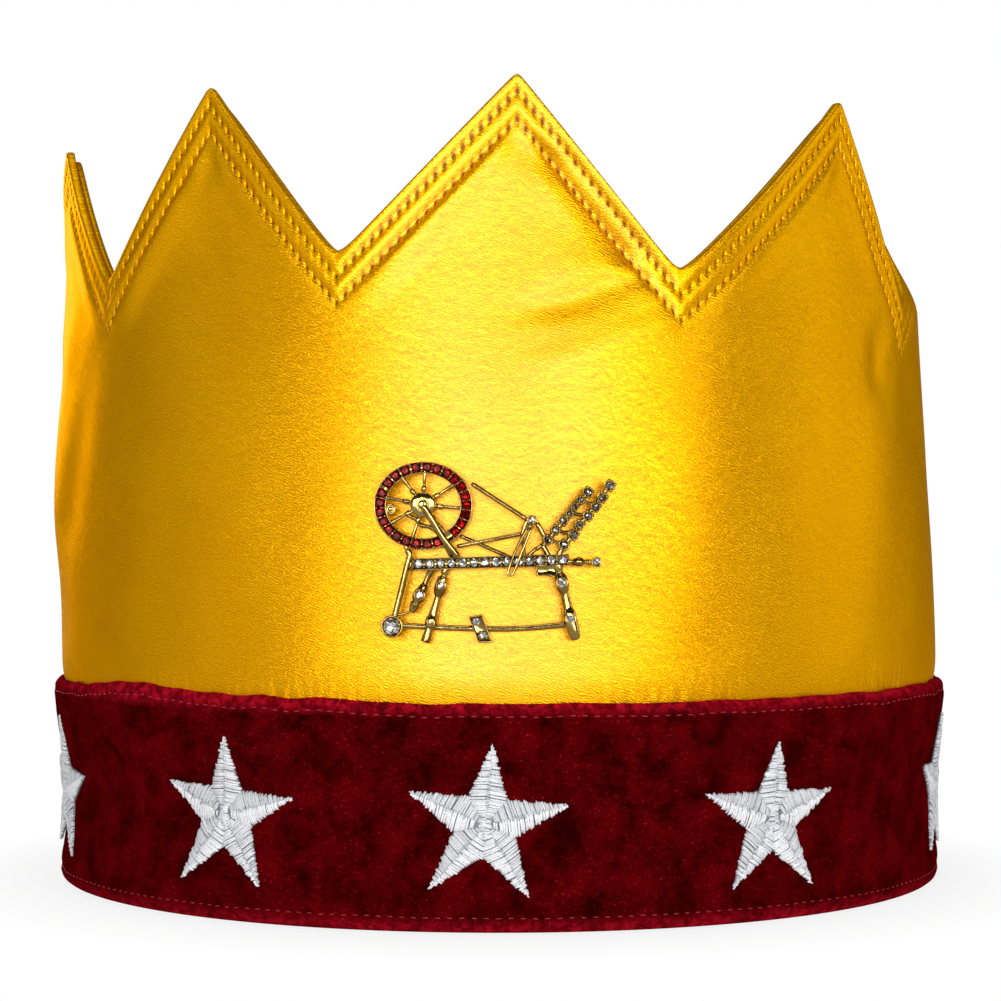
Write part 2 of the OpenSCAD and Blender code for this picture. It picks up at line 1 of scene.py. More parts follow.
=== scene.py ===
# Soft satin crown: eight stitched points, a velvet band with embroidered stars
# and a jewelled spinning wheel brooch. Shapes are worked out in millimetres.
import math
import bpy
import numpy as np
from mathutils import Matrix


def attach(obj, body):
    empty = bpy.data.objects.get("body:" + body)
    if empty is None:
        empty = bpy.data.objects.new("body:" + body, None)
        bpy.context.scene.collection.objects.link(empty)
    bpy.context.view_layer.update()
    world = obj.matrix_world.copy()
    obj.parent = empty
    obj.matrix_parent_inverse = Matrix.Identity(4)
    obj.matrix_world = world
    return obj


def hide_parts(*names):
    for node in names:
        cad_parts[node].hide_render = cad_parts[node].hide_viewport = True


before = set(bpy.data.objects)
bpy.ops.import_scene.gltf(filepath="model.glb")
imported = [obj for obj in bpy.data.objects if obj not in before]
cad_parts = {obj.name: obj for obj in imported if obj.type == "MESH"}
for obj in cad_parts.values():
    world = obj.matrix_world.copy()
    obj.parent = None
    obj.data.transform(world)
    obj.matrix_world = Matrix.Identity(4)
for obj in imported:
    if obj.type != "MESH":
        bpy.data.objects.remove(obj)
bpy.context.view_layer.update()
millimetre = 0.001
print("frame loaded")


# Mesh helpers

def easeStep(t):
    # 3t^2 - 2t^3, held at 0 below t = 0 and at 1 above t = 1
    c = np.clip(t, 0, 1)
    return c * c * (3 - 2 * c)


def easeBetween(value, low, high):
    # the same step, from 0 at low to 1 at high
    return easeStep((value - low) / (high - low))


def bell(t):
    # e to the power of minus t squared
    return np.exp(-t * t)


def turnTo(a, b):
    # signed angle in degrees from b to a, from -180 to 180
    return (a - b + 540) % 360 - 180


def onRound(angle, radius, height):
    # point at that angle round the crown: 0 is the front, 90 is +X
    t = np.radians(angle)
    return np.stack(np.broadcast_arrays(radius * np.sin(t), -radius * np.cos(t), height), -1)


def wrinkles(angle, height, seed, waves, turns, rise):
    # sum of random plane waves: each repeats a whole number of times round the crown, up to turns,
    # and leans up to rise radians per mm of height; the sum has a spread of about 1
    rng = np.random.default_rng(seed)
    total = 0
    for _ in range(waves):
        count = rng.integers(1, turns + 1)
        slope = rng.uniform(-rise, rise)
        start = rng.uniform(0, 2 * math.pi)
        total = total + np.cos(np.radians(angle) * count + height * slope + start)
    return total * math.sqrt(2 / waves)


def gridQuads(nu, nv, closeU=False, closeV=False):
    # corner numbers of the quads of a grid of nu by nv points, and the grid steps of each corner
    i, j = np.meshgrid(np.arange(nu if closeU else nu - 1), np.arange(nv if closeV else nv - 1),
                       indexing="ij")
    steps = np.stack([np.stack([i, j], -1), np.stack([i + 1, j], -1),
                      np.stack([i + 1, j + 1], -1), np.stack([i, j + 1], -1)], 2).reshape(-1, 4, 2)
    return (steps[..., 0] % nu) * nv + steps[..., 1] % nv, steps


def fullTurn(number):
    # that many even angles round a circle
    return np.arange(number) / number * 2 * np.pi


def tubeFaces(rings, around, flip=False):
    # sides and two flat ends of a tube of rings, and the grid steps of the sides' corners
    quads, steps = gridQuads(rings, around, closeV=True)
    first = np.arange(around)[None]
    last = first + (rings - 1) * around
    if flip:
        return [quads[:, ::-1], first[:, ::-1], last], steps[:, ::-1]
    return [quads, first, last[:, ::-1]], steps


def manyQuads(quads, pointsEach, count):
    # the same quads for count shapes that follow each other in the point list
    return (quads[None] + (np.arange(count) * pointsEach)[:, None, None]).reshape(-1, quads.shape[1])


def addPiece(name, points, faces, material, replaces=(), uv=None, flat=False):
    # points in mm; faces is a list of arrays of corner numbers; uv gives named maps, one row per face corner
    mesh = bpy.data.meshes.new(name)
    cornerLists = [row for block in faces for row in block.tolist()]
    mesh.from_pydata((np.asarray(points).reshape(-1, 3) * millimetre).tolist(), [], cornerLists)
    for mapName, values in (uv or {}).items():
        layer = mesh.uv_layers.new(name=mapName)
        layer.data.foreach_set("uv", np.asarray(values, np.float32).ravel())
    mesh.polygons.foreach_set("use_smooth", np.full(len(mesh.polygons), not flat))
    mesh.materials.append(material)
    mesh.update()
    piece = bpy.data.objects.new(name, mesh)
    bpy.context.scene.collection.objects.link(piece)
    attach(piece, "root")
    if replaces:
        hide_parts(*replaces)
    return piece


# Material helpers

class Value:
    # a number that varies over the surface; arithmetic on it adds Math nodes to its tree
    def __init__(self, socket):
        self.socket = socket

    def __add__(self, other):
        return mathNode("ADD", self, other)

    def __sub__(self, other):
        return mathNode("SUBTRACT", self, other)

    def __rsub__(self, other):
        return mathNode("SUBTRACT", other, self)

    def __mul__(self, other):
        return mathNode("MULTIPLY", self, other)

    def __truediv__(self, other):
        return mathNode("DIVIDE", self, other)

    def __rtruediv__(self, other):
        return mathNode("DIVIDE", other, self)

    def __pow__(self, power):
        return mathNode("POWER", self, power)

    def held(self):
        # keeps the result from 0 to 1
        self.socket.node.use_clamp = True
        return self


def feed(node, values):
    # puts a number, a colour or another node's output on each named input
    for key, value in values.items():
        source = value.socket if isinstance(value, Value) else value
        if isinstance(source, bpy.types.NodeSocket):
            node.id_data.links.new(source, node.inputs[key])
        else:
            node.inputs[key].default_value = source


def addNode(tree, kind, values=None, **settings):
    node = tree.nodes.new(kind)
    for key, value in settings.items():
        setattr(node, key, value)
    feed(node, values or {})
    return node


def mathNode(operation, *numbers):
    # one Math node; at least one of the numbers is a Value
    tree = next(n.socket.id_data for n in numbers if isinstance(n, Value))
    return Value(addNode(tree, "ShaderNodeMath", dict(enumerate(numbers)), operation=operation).outputs[0])


def vectorNode(tree, operation, *vectors, scale=None):
    values = dict(enumerate(vectors))
    if scale is not None:
        values["Scale"] = scale
    return addNode(tree, "ShaderNodeVectorMath", values, operation=operation).outputs["Vector"]


def turnedPlace(tree, place, degrees):
    # the place turned about z
    return addNode(tree, "ShaderNodeVectorRotate", {"Vector": place, "Angle": math.radians(degrees)},
                   rotation_type="Z_AXIS").outputs[0]


def noise(tree, place, **values):
    return Value(addNode(tree, "ShaderNodeTexNoise", {"Vector": place, **values}).outputs["Fac"])


def splitVector(tree, vector):
    # the x and y parts
    split = addNode(tree, "ShaderNodeSeparateXYZ", {0: vector})
    return Value(split.outputs[0]), Value(split.outputs[1])


def uvMap(tree, name):
    return addNode(tree, "ShaderNodeUVMap", uv_map=name).outputs[0]


def objectPlace(tree):
    return addNode(tree, "ShaderNodeTexCoord").outputs["Object"]


def newGroup(name, inputs, outputs):
    # shader node group; each input has its first value, or None where it is a vector, and all outputs are values
    tree = bpy.data.node_groups.new(name, "ShaderNodeTree")
    for socketName, first in inputs.items():
        kind = "NodeSocketVector" if first is None else "NodeSocketFloat"
        socket = tree.interface.new_socket(socketName, in_out="INPUT", socket_type=kind)
        if first is not None:
            socket.default_value = first
    for socketName in outputs:
        tree.interface.new_socket(socketName, in_out="OUTPUT", socket_type="NodeSocketFloat")
    return tree, tree.nodes.new("NodeGroupInput").outputs, tree.nodes.new("NodeGroupOutput")


def useGroup(tree, group, **values):
    # places the group and gives its outputs by name
    node = tree.nodes.new("ShaderNodeGroup")
    node.node_tree = group
    feed(node, values)
    return {output.name: Value(output) for output in node.outputs}


def newMaterial(name, values):
    # a material with one Principled shader; values are set on its own sockets
    material = bpy.data.materials.new(name)
    material.use_nodes = True
    shader = material.node_tree.nodes["Principled BSDF"]
    feed(shader, values)
    return material, material.node_tree, shader


def blendColors(mask, low, high):
    # colour between low and high by the mask; low and high are sockets or RGB values
    low, high = ((*color, 1) if isinstance(color, tuple) else color for color in (low, high))
    node = addNode(mask.socket.id_data, "ShaderNodeMix", {"Factor": mask, 6: low, 7: high}, data_type="RGBA")
    return node.outputs[2]


def bumpFrom(height, distance, strength=1.0, before=None):
    # the normal over this relief, which lies on the relief before it
    values = {"Height": height, "Distance": distance, "Strength": strength}
    if before is not None:
        values["Normal"] = before
    return addNode(height.socket.id_data, "ShaderNodeBump", values).outputs["Normal"]


# Shared effects

# the sewn hem, in mm: the satin's shape, its material and the stitches all follow it
hem = {
    "rows": (2.4, 6.0),             # distance of the two stitched rows from the edge, on the hem map
    "pitch": 2.5,
    "drops": (3.8, 9.1),            # how far the rows lie below the edge
    "valleyRise": (0.5, 0.8),       # how much less that is at the valleys
    "proud": 0.4,                   # how far the edge stands before the lower row
    "hole": (0.42, 0.3, 1.3), "dimple": (0.9, 0.95, 1.0),       # half length, half width, reach
    "channelEnd": 5.2, "channelFade": 1.6,
}
weaveLook = {
    "lines": 0.68, "wander": 0.6, "slant": 112,         # closeness and straying of the twill lines, angle in degrees
    "driftScale": 0.6, "driftReach": 2.2, "grainScale": 2.4,
    "lineShare": 0.85, "grainShare": 0.75, "middle": 0.63, "contrast": 1.8,
}


def makeWeaveGroup():
    # fine twill lines that wander like a fingerprint: a slanted wave, pushed about by soft noise, broken
    # where the grain is low; the grain itself is added
    look = weaveLook
    tree, source, result = newGroup("satinWeave", {"Cloth": None, "Lines": look["lines"], "Wander": look["wander"]},
                                    ["Height", "Shade"])
    cloth = source["Cloth"]
    drift = addNode(tree, "ShaderNodeTexNoise", {"Vector": cloth, "Scale": look["driftScale"], "Detail": 2.0})
    push = vectorNode(tree, "SCALE", drift.outputs["Color"], scale=Value(source["Wander"]) * look["driftReach"])
    turned = turnedPlace(tree, vectorNode(tree, "ADD", cloth, push), look["slant"])
    lines = addNode(tree, "ShaderNodeTexWave", {"Vector": turned, "Scale": source["Lines"], "Distortion": 3.6,
                                                "Detail": 2.0, "Detail Scale": 1.6})
    grain = noise(tree, cloth, Scale=look["grainScale"], Detail=2.0, Roughness=0.75)
    broken = Value(lines.outputs["Fac"]) * ((grain - 0.2) * 1.7).held()
    height = broken * look["lineShare"] + grain * look["grainShare"]
    feed(result, {"Height": height, "Shade": ((height - look["middle"]) * look["contrast"] + 0.5).held()})
    return tree


def makeCloudsGroup():
    # soft patches of wear: broad noise and finer noise, drawn apart around the middle
    tree, source, result = newGroup("softPatches", {"Place": None, "Size": 1.0, "Sharpness": 2.0}, ["Mask"])
    place, size = source["Place"], Value(source["Size"])
    broad = noise(tree, place, Scale=1.0 / size, Detail=2.0, Roughness=0.5, Distortion=0.4)
    fine = noise(tree, place, Scale=4.3 / size, Detail=3.0, Roughness=0.65)
    mixed = broad * 0.65 + fine * 0.35
    feed(result, {"Mask": ((mixed - 0.5) * Value(source["Sharpness"]) + 0.5).held()})
    return tree


def makeHemGroup():
    # along the hem map, u counts stitches and v is the distance from the edge in mm:
    # a hole where two stitches meet, on two rows, painted dark in the satin as painted shade, a dimple round it, and
    # the sewn channel itself
    tree, source, result = newGroup("hemStitching", {"Hem": None}, ["Hole", "Dimple", "Channel"])
    along, down = splitVector(tree, source["Hem"])
    nearEnd = mathNode("PINGPONG", along, 0.5)          # 0 at a hole, 0.5 in the middle of a stitch
    offRows = [mathNode("ABSOLUTE", down - row) for row in hem["rows"]]

    def spots(halfLength, halfWidth, reach):
        # an oval round each hole: reach less the distance from the hole in half sizes
        squares = [(nearEnd * (hem["pitch"] / halfLength)) ** 2.0 + (off / halfWidth) ** 2.0 for off in offRows]
        return mathNode("MAXIMUM", *((reach - mathNode("SQRT", square)).held() for square in squares))

    channel = (1.0 - (down - hem["channelEnd"]) / hem["channelFade"]).held()
    feed(result, {"Hole": spots(*hem["hole"]), "Dimple": spots(*hem["dimple"]), "Channel": channel})
    return tree


def makeTwistGroup():
    # ply lines that run slanted round a thread: a wave over the thread's own map
    tree, source, result = newGroup("threadTwist", {"Thread": None, "Turns": 1.0}, ["Height", "Shade"])
    thread = source["Thread"]
    plies = addNode(tree, "ShaderNodeTexWave", {"Vector": turnedPlace(tree, thread, 38), "Scale": source["Turns"],
                                                "Distortion": 0.6, "Detail": 1.0})
    height = Value(plies.outputs["Fac"])
    fuzz = noise(tree, thread, Scale=0.8, Detail=2.0)
    feed(result, {"Height": height, "Shade": height * 0.4 + fuzz * 0.6})
    return tree


weaveGroup = makeWeaveGroup()
patchGroup = makeCloudsGroup()
hemGroup = makeHemGroup()
twistGroup = makeTwistGroup()


# Materials

satinLook = {
    "deep": (0.74, 0.295, 0.001),       # amber in the grain of the cloth
    "bright": (1.0, 0.53, 0.004),       # golden yellow of the smooth floats
    # painted shade: dark amber painted into the stitch holes
    "hole": (0.34, 0.12, 0.001),
    "threads": 0.76,                    # how much the yarn mirrors in its own colour
    "edgeTint": (1.0, 0.62, 0.05, 1),
    "roughness": 0.35,
    "gloss": 0.5, "glossFocus": 45.0,   # pale gloss on top, only where the cloth faces the eye
    "weaveDepth": 0.00006, "holeDepth": 0.00035,
    "patchSize": 0.03,
}


def makeSatin(name, look, shadeScale=1.0):
    material, tree, shader = newMaterial(name, {
        "Metallic": look["threads"], "Specular IOR Level": 0.0, "Specular Tint": look["edgeTint"],
        "Coat IOR": 1.6, "Coat Roughness": 0.32})
    weave = useGroup(tree, weaveGroup, Cloth=uvMap(tree, "cloth"))
    patches = useGroup(tree, patchGroup, Place=objectPlace(tree), Size=look["patchSize"], Sharpness=2.2)["Mask"]
    stitching = useGroup(tree, hemGroup, Hem=uvMap(tree, "hem"))
    tone = (patches * 0.3 + (weave["Shade"] * 0.8 - 0.05)).held()
    # a shadeScale below 1 paints the cloth darker, as painted shade
    color = blendColors(tone, *(tuple(part * shadeScale for part in look[key]) for key in ("deep", "bright")))
    # painted shade in the stitch holes
    color = blendColors((stitching["Hole"] * 0.95).held(), color, look["hole"])
    facing = Value(addNode(tree, "ShaderNodeLayerWeight", {"Blend": 0.5}).outputs["Facing"])
    towards = (1.0 - facing).held() ** look["glossFocus"]
    unbroken = (1.0 - stitching["Hole"]).held() * look["gloss"]
    # the weave is flatter in the sewn channel
    normal = bumpFrom(weave["Height"] * (1.0 - stitching["Channel"] * 0.35), look["weaveDepth"])
    sunk = 1.0 - (stitching["Dimple"] * 0.6 + stitching["Hole"] * 0.5)
    feed(shader, {
        "Base Color": color, "Roughness": weave["Shade"] * 0.1 + (look["roughness"] - 0.05),
        "Coat Weight": towards * unbroken, "Normal": bumpFrom(sunk, look["holeDepth"], before=normal)})
    return material


velvetLook = {
    "pile": (0.027, 0.0001, 0.0002),    # looking into the pile
    "nap": (0.185, 0.0008, 0.0025),     # where it has been brushed
    "edge": (0.45, 0.006, 0.02),        # painted sheen: crimson painted on the rolled edges
    # painted glints on single tufts
    "paintedGlint": (0.7, 0.03, 0.06),
    "sheenTint": (0.9, 0.006, 0.016, 1),
    "sheen": 0.11,
    "cloudSize": 7.0, "speckSize": 1.6,             # mm
    "topEdgeSheen": (40.4, 2.2), "lowEdgeSheen": (2.9, 2.6),  # where the painted sheen of an edge begins, and over how much it fades in
}


def makeVelvet(look):
    material, tree, shader = newMaterial("velvet", {
        "Roughness": 0.95, "Specular IOR Level": 0.0, "Sheen Weight": look["sheen"], "Sheen Roughness": 0.28,
        "Sheen Tint": look["sheenTint"]})
    cloth = uvMap(tree, "cloth")
    height = splitVector(tree, cloth)[1]
    clouds = useGroup(tree, patchGroup, Place=cloth, Size=look["cloudSize"], Sharpness=4.0)["Mask"]
    specks = useGroup(tree, patchGroup, Place=cloth, Size=look["speckSize"], Sharpness=7.0)["Mask"]
    pile = noise(tree, cloth, Scale=3.2, Detail=3.0, Roughness=0.75)
    color = blendColors(clouds * (pile * 0.9 + 0.15), look["pile"], look["nap"])
    # painted glints: single tufts that stand up are painted bright where they would catch the light
    glintNoise = noise(tree, cloth, Scale=1.7, Detail=3.0, Roughness=0.75)
    lit = ((glintNoise - 0.6) * 8.0).held() * (clouds * 0.7 + 0.2)
    color = blendColors(lit, color, look["paintedGlint"])
    (topFrom, topFade), (lowFrom, lowFade) = look["topEdgeSheen"], look["lowEdgeSheen"]
    # painted sheen: the rolled top and bottom edges are painted crimson, as if lit at a grazing angle, broken up by
    # specks
    edges = mathNode("MAXIMUM", ((height - topFrom) / topFade).held(), ((lowFrom - height) / lowFade).held())
    color = blendColors(edges * (specks * 0.75 + 0.2), color, look["edge"])
    normal = bumpFrom(pile + specks * 0.6, 0.00035)
    feed(shader, {"Base Color": color, "Normal": bumpFrom(clouds, 0.0006, strength=0.5, before=normal)})
    return material


def makeThread(name, dark, light, sheenTint, turns=0.55, roughness=0.5, sheen=0.3, gapShade=None):
    material, tree, shader = newMaterial(name, {
        "Roughness": roughness, "Sheen Weight": sheen, "Sheen Roughness": 0.35, "Sheen Tint": (*sheenTint, 1)})
    strand = uvMap(tree, "thread")
    twist = useGroup(tree, twistGroup, Thread=strand, Turns=turns)
    color = blendColors(twist["Shade"], dark, light)
    if gapShade:
        # the whole part of the map's v holds a thread's tone, from 0 to 4, which darkens it towards the painted shade
        # colour and mixes a random tone with painted sheen and painted shade; the padding under the threads lies below
        # -1 and is painted in that shade colour
        across = splitVector(tree, strand)[1]
        tone = (mathNode("FLOOR", across) * 0.25).held()
        color = blendColors((1.0 - tone) * 0.55, color, gapShade)
        # painted shade: short dark gaps along the threads' sides
        marks = noise(tree, strand, Scale=2.4, Detail=1.0)
        side = mathNode("ABSOLUTE", mathNode("FRACT", across) - 0.3)
        gaps = mathNode("GREATER_THAN", side, 0.1) * ((marks - 0.54) * 8.0).held()
        gaps = mathNode("MAXIMUM", gaps, mathNode("LESS_THAN", across, -1.0))
        color = blendColors(gaps, color, gapShade)
    feed(shader, {"Base Color": color, "Normal": bumpFrom(twist["Height"], 0.00004)})
    return material


def makeMetal(name, deep, bright, roughness):
    # cast and polished: patches of wear change colour and roughness, fine pits in the surface
    material, tree, shader = newMaterial(name, {"Metallic": 1.0})
    place = objectPlace(tree)
    patches = useGroup(tree, patchGroup, Place=place, Size=0.0032, Sharpness=3.0)["Mask"]
    normal = bumpFrom(noise(tree, place, Scale=2600.0, Detail=3.0), 0.000007)
    feed(shader, {
        "Base Color": blendColors(patches, deep, bright), "Roughness": (roughness + 0.08) - patches * 0.14,
        "Normal": bumpFrom(patches, 0.00004, strength=0.5, before=normal)})
    return material


def makeGlass(name, color, deep, metallic, roughness, sparkle, coat):
    # cut glass on foil: small cells, each tilted its own way like the facets seen through the glass, and each painted
    # between the dark and the bright colour as painted reflections of those facets, under a clear coat that keeps the
    # stone's own facets
    material, tree, shader = newMaterial(name, {
        "Metallic": metallic, "Specular IOR Level": 0.1, "Coat Weight": coat, "Coat Roughness": 0.03,
        "Coat IOR": 1.6})
    cells = addNode(tree, "ShaderNodeTexVoronoi", {"Vector": objectPlace(tree), "Scale": 2400.0}).outputs["Color"]
    split = addNode(tree, "ShaderNodeSeparateColor", {0: cells})
    tone = Value(split.outputs[2]) ** 1.6
    tilt = vectorNode(tree, "SUBTRACT", cells, (0.5, 0.5, 0.5))
    lean = vectorNode(tree, "SCALE", tilt, scale=sparkle)
    surface = addNode(tree, "ShaderNodeNewGeometry")
    leaning = vectorNode(tree, "ADD", surface.outputs["Normal"], lean)
    feed(shader, {
        "Base Color": blendColors(tone, deep, color), "Roughness": Value(split.outputs[0]) * 0.08 + roughness,
        "Normal": vectorNode(tree, "NORMALIZE", leaning)})
    return material


satinMaterial = makeSatin("satin", satinLook)
# painted shade: the lining is the same satin painted darker, for the shade it lies in behind the outer cloth
shadedLiningMaterial = makeSatin("satinLiningShaded", satinLook, shadeScale=0.8)
velvetMaterial = makeVelvet(velvetLook)
stitchMaterial = makeThread("stitchThread", (0.72, 0.36, 0.004), (0.95, 0.62, 0.03), (1, 0.85, 0.3))
redThreadMaterial = makeThread("redThread", (0.2, 0.002, 0.006), (0.42, 0.008, 0.02), (1, 0.1, 0.15), sheen=0.05)
# painted shade: the dark gapShade colour is painted on the padding, on gaps between threads and on dark threads
starMaterial = makeThread("starThread", (0.7, 0.71, 0.74), (0.98, 0.98, 1.0), (0.9, 0.95, 1), turns=0.8,
                          roughness=0.42, sheen=0.2, gapShade=(0.2, 0.22, 0.25))
goldMaterial = makeMetal("goldMetal", (0.17, 0.105, 0.028), (0.58, 0.42, 0.13), 0.08)
pinMaterial = makeMetal("pinMetal", (0.55, 0.40, 0.2), (0.85, 0.68, 0.42), 0.32)
# colour, dark colour of the painted facet reflections, how much the foil mirrors, roughness, tilt of the facets
# behind, clear coat
redGlassMaterial = makeGlass("redGlass", (0.42, 0.001, 0.002), (0.035, 0.0001, 0.0003), 0.7, 0.12, 0.6, 0.12)
clearGlassMaterial = makeGlass("clearGlass", (1.0, 0.99, 0.96), (0.2, 0.2, 0.19), 0.85, 0.06, 0.62, 0.8)
smokyGlassMaterial = makeGlass("smokyGlass", (0.62, 0.58, 0.5), (0.02, 0.018, 0.014), 0.85, 0.06, 0.8, 0.5)
print("materials ready")


# The satin wall

wall = {
    "rimRadius": 93.0, "bottom": 1.5, "satinThick": 1.2, "liningThick": 0.9, "layerGap": 0.2,
    "swell": 2.7, "swellRange": (30, 48), "taper": 2.6, "taperRange": (66, 138), "wavesRange": (44, 90),
    "pointFlat": 0.8, "flatRange": (90, 135), "valleyRidge": 0.3, "ridgeRange": (60, 120), "ridgeWidth": 9,
    "leanFrom": 121.5, "leanBend": 3, "valleyRound": 0.05, "tipRound": 0.015,
    "broochDent": 1.0, "dentWidth": 13, "dentHeight": 28, "broochHeight": 71.4,
    "liningTips": 2.0,                                      # how much lower the lining's tips are
    "gathers": (0.045, 43.6, 2.6), "creases": (0.09, 46),   # depth, height where they lie or begin, spread
}
# tip angle, tip height, angle and height of the valley after it, slope at which it leans in,
# and how puckered its rising and falling edges are
crownPoints = np.array([
    [2.2, 162.4, 21.7, 123.7, 0.01, 0.25, 1.0],
    [48.4, 161.4, 64.2, 120.3, 0.02, 0.5, 0.9],
    [90.0, 157.5, 111.0, 126.5, 0.55, 0.8, 0.6],
    [129.0, 160.0, 155.0, 127.0, 0.06, 0.5, 0.8],
    [181.0, 161.5, 207.0, 127.5, -0.03, 0.4, 0.8],
    [232.0, 162.0, 256.0, 126.5, 0.05, 0.5, 0.8],
    [283.3, 156.2, 303.3, 124.4, -0.01, 0.9, 0.6],
    [322.3, 162.4, 340.7, 127.0, 0.01, 0.35, 0.9]])
# waves in a turn, height, angle of a crest
slowWaves = [(1, 1.4, 270), (2, 0.5, 60), (3, 0.3, 20), (5, 0.25, 100)]
# angle and height of the upper end, of the lower end, width in degrees, depth, fade in mm
folds = [
    (-62, 124, -69, 66, 5, 0.6, 14), (-72, 122, -80, 62, 5, -0.5, 14), (-83, 175, -83, 104, 14, -0.9, 14),
    (5, 142, 24, 112, 5, 0.4, 14), (64, 120, 70, 84, 6, 0.6, 14), (28, 118, 50, 66, 7, 0.3, 14),
    (120, 124, 112, 60, 6, 0.6, 14), (160, 122, 171, 58, 6, 0.7, 14), (214, 124, 204, 64, 6, 0.6, 14),
    (262, 122, 254, 60, 6, 0.6, 14),
    # finer ones that the solid leaves out
    (-61, 122, -76, 72, 4.2, -0.5, 10), (-68, 130, -84, 66, 6, -0.3, 16), (-37, 147, -60, 113, 4.6, -0.45, 8),
    (-44, 150, -34, 122, 2.5, 0.25, 8), (3, 152, 18.5, 121, 2.7, 1.2, 8), (17.8, 125.5, 3, 114.6, 4.6, 0.8, 3.5),
    (22, 118, 3, 104, 4.2, -0.35, 4), (56, 140, 60, 112, 2.2, 0.3, 8), (57, 119, 55, 100, 2.6, 0.8, 7),
    (62, 118, 56, 92, 2.6, 0.3, 10), (100, 122, 96, 88, 3.0, 0.35, 12), (140, 126, 146, 84, 3.2, 0.35, 12),
    (196, 126, 190, 88, 3.0, 0.35, 12), (240, 124, 236, 86, 3.0, 0.35, 12), (-88, 90, -84, 50, 4.0, 0.4, 12)]


def foldDepth(angle, height):
    # each fold is a slanting hollow: its depth times a bell across it, fading at its two ends
    total = 0
    for upA, upZ, lowA, lowZ, width, depth, fade in folds:
        across = turnTo(angle, lowA + (upA - lowA) * (height - lowZ) / (upZ - lowZ))
        ends = easeStep((height - lowZ) / fade) * easeStep((upZ - height) / fade)
        total = total + depth * bell(across / width) * ends
    return total


def wallRadius(angle, height, share, lean):
    # the rim's radius, plus the swell over the band, less the taper, plus slow waves and the ridges
    # under the valleys, less folds, the hollow behind the brooch, the flat of the points and their lean
    w = wall
    waves = sum(size * np.cos(np.radians(count * (angle - crest))) for count, size, crest in slowWaves)
    nearValley = np.max([bell(turnTo(angle, p[2]) / w["ridgeWidth"]) for p in crownPoints], axis=0)
    radius = w["rimRadius"] + w["swell"] * easeBetween(height, *w["swellRange"])
    radius = radius - w["taper"] * easeBetween(height, *w["taperRange"])
    radius = radius + waves * easeBetween(height, *w["wavesRange"])
    radius = radius + w["valleyRidge"] * easeBetween(height, *w["ridgeRange"]) * nearValley
    radius = radius - foldDepth(angle, height)
    nearBrooch = bell(turnTo(angle, 0) / w["dentWidth"]) * bell((height - w["broochHeight"]) / w["dentHeight"])
    radius = radius - w["broochDent"] * nearBrooch
    radius = radius - w["pointFlat"] * easeBetween(height, *w["flatRange"]) * easeStep(share)
    over = np.maximum(0, height - w["leanFrom"])
    return radius - lean * over * over / (over + w["leanBend"])


def edgeShare(f):
    # f, with the valley at f = 0 and the tip at f = 1 rounded off
    v, t = wall["valleyRound"], wall["tipRound"]
    return f + (np.sqrt(f * f + v * v) - f) * (1 - f) - (np.sqrt((1 - f) ** 2 + t * t) - (1 - f)) * f


def crownColumns(perHalf):
    # columns from valley to tip to valley: angle, edge height, share of the way to the tip, lean,
    # stitches counted along the hem, cosine of the edge's slope, how puckered it is, and the height of
    # the edge before the valley and the tip are rounded off
    columns = []
    counted = 0.0
    steps = np.arange(perHalf) / perHalf
    for k, (tipA, tipZ, valleyA, valleyZ, lean, puckerUp, puckerDown) in enumerate(crownPoints):
        before = crownPoints[k - 1]
        rising = (before[2] - (360 if k == 0 else 0), before[3], steps, puckerUp)
        falling = (valleyA, valleyZ, 1 - steps, puckerDown)
        for fromA, fromZ, shares, pucker in (rising, falling):
            run = math.radians(abs(tipA - fromA)) * wall["rimRadius"]
            length = math.hypot(run, tipZ - fromZ)
            stitches = round(length / hem["pitch"])
            columns.append(np.stack([
                fromA + (tipA - fromA) * shares,
                fromZ + (tipZ - fromZ) * edgeShare(shares),
                shares, np.full(perHalf, lean), counted + steps * stitches,
                np.full(perHalf, run / length), np.full(perHalf, pucker), fromZ + (tipZ - fromZ) * shares]))
            counted += stitches
    return np.concatenate(columns, 1), counted


def rowDrop(row, share):
    # how far a stitched row lies below the sharp edge: a little less at the valleys
    return hem["drops"][row] - hem["valleyRise"][row] * (1 - share) ** 4


def hemDistance(drop, share, cosine):
    # distance from the edge in the cloth, with the stitched rows at their own distances wherever they run
    upper, lower = hem["rows"]
    first, second = rowDrop(0, share), rowDrop(1, share)
    between = upper + (lower - upper) * (drop - first) / (second - first)
    inside = np.where(drop < first, upper * drop / first, between)
    return np.where(drop < second, inside, lower + (drop - second) * cosine)


def hemRelief(count, distance, share, pucker, strength):
    # sewn hem: the cloth puffs between the rows, dips into a groove along each row, deepest at the
    # holes, stands prouder towards the edge, and swells out again below the lower row
    upper, lower = hem["rows"]
    pull = 0.5 + 0.5 * np.cos(2 * np.pi * count)
    groove = bell((distance - upper) / 0.7) + bell((distance - lower) / 0.75)
    puff = 0.18 * bell((distance - 0.9) / 0.9) + 0.3 * bell((distance - 4.2) / 1.2)
    shoulder = (0.75 - 0.45 * pucker) * easeBetween(distance, 5.7, 7.5) * (1 - easeBetween(distance, 7.8, 12.8)) \
        * easeStep(share / 0.4) * easeStep((1 - share) / 0.12)
    wobble = np.cos(2 * np.pi * count * 0.5 + 1.7) * 0.25 + np.cos(2 * np.pi * count * 0.37) * 0.25
    lift = puff * (1 - pucker * 0.3 * pull + pucker * 0.25 * wobble)
    proud = hem["proud"] * (1 - easeStep(distance / 6.2))
    return strength * (lift + shoulder + proud - groove * (0.12 + 0.08 * pull))


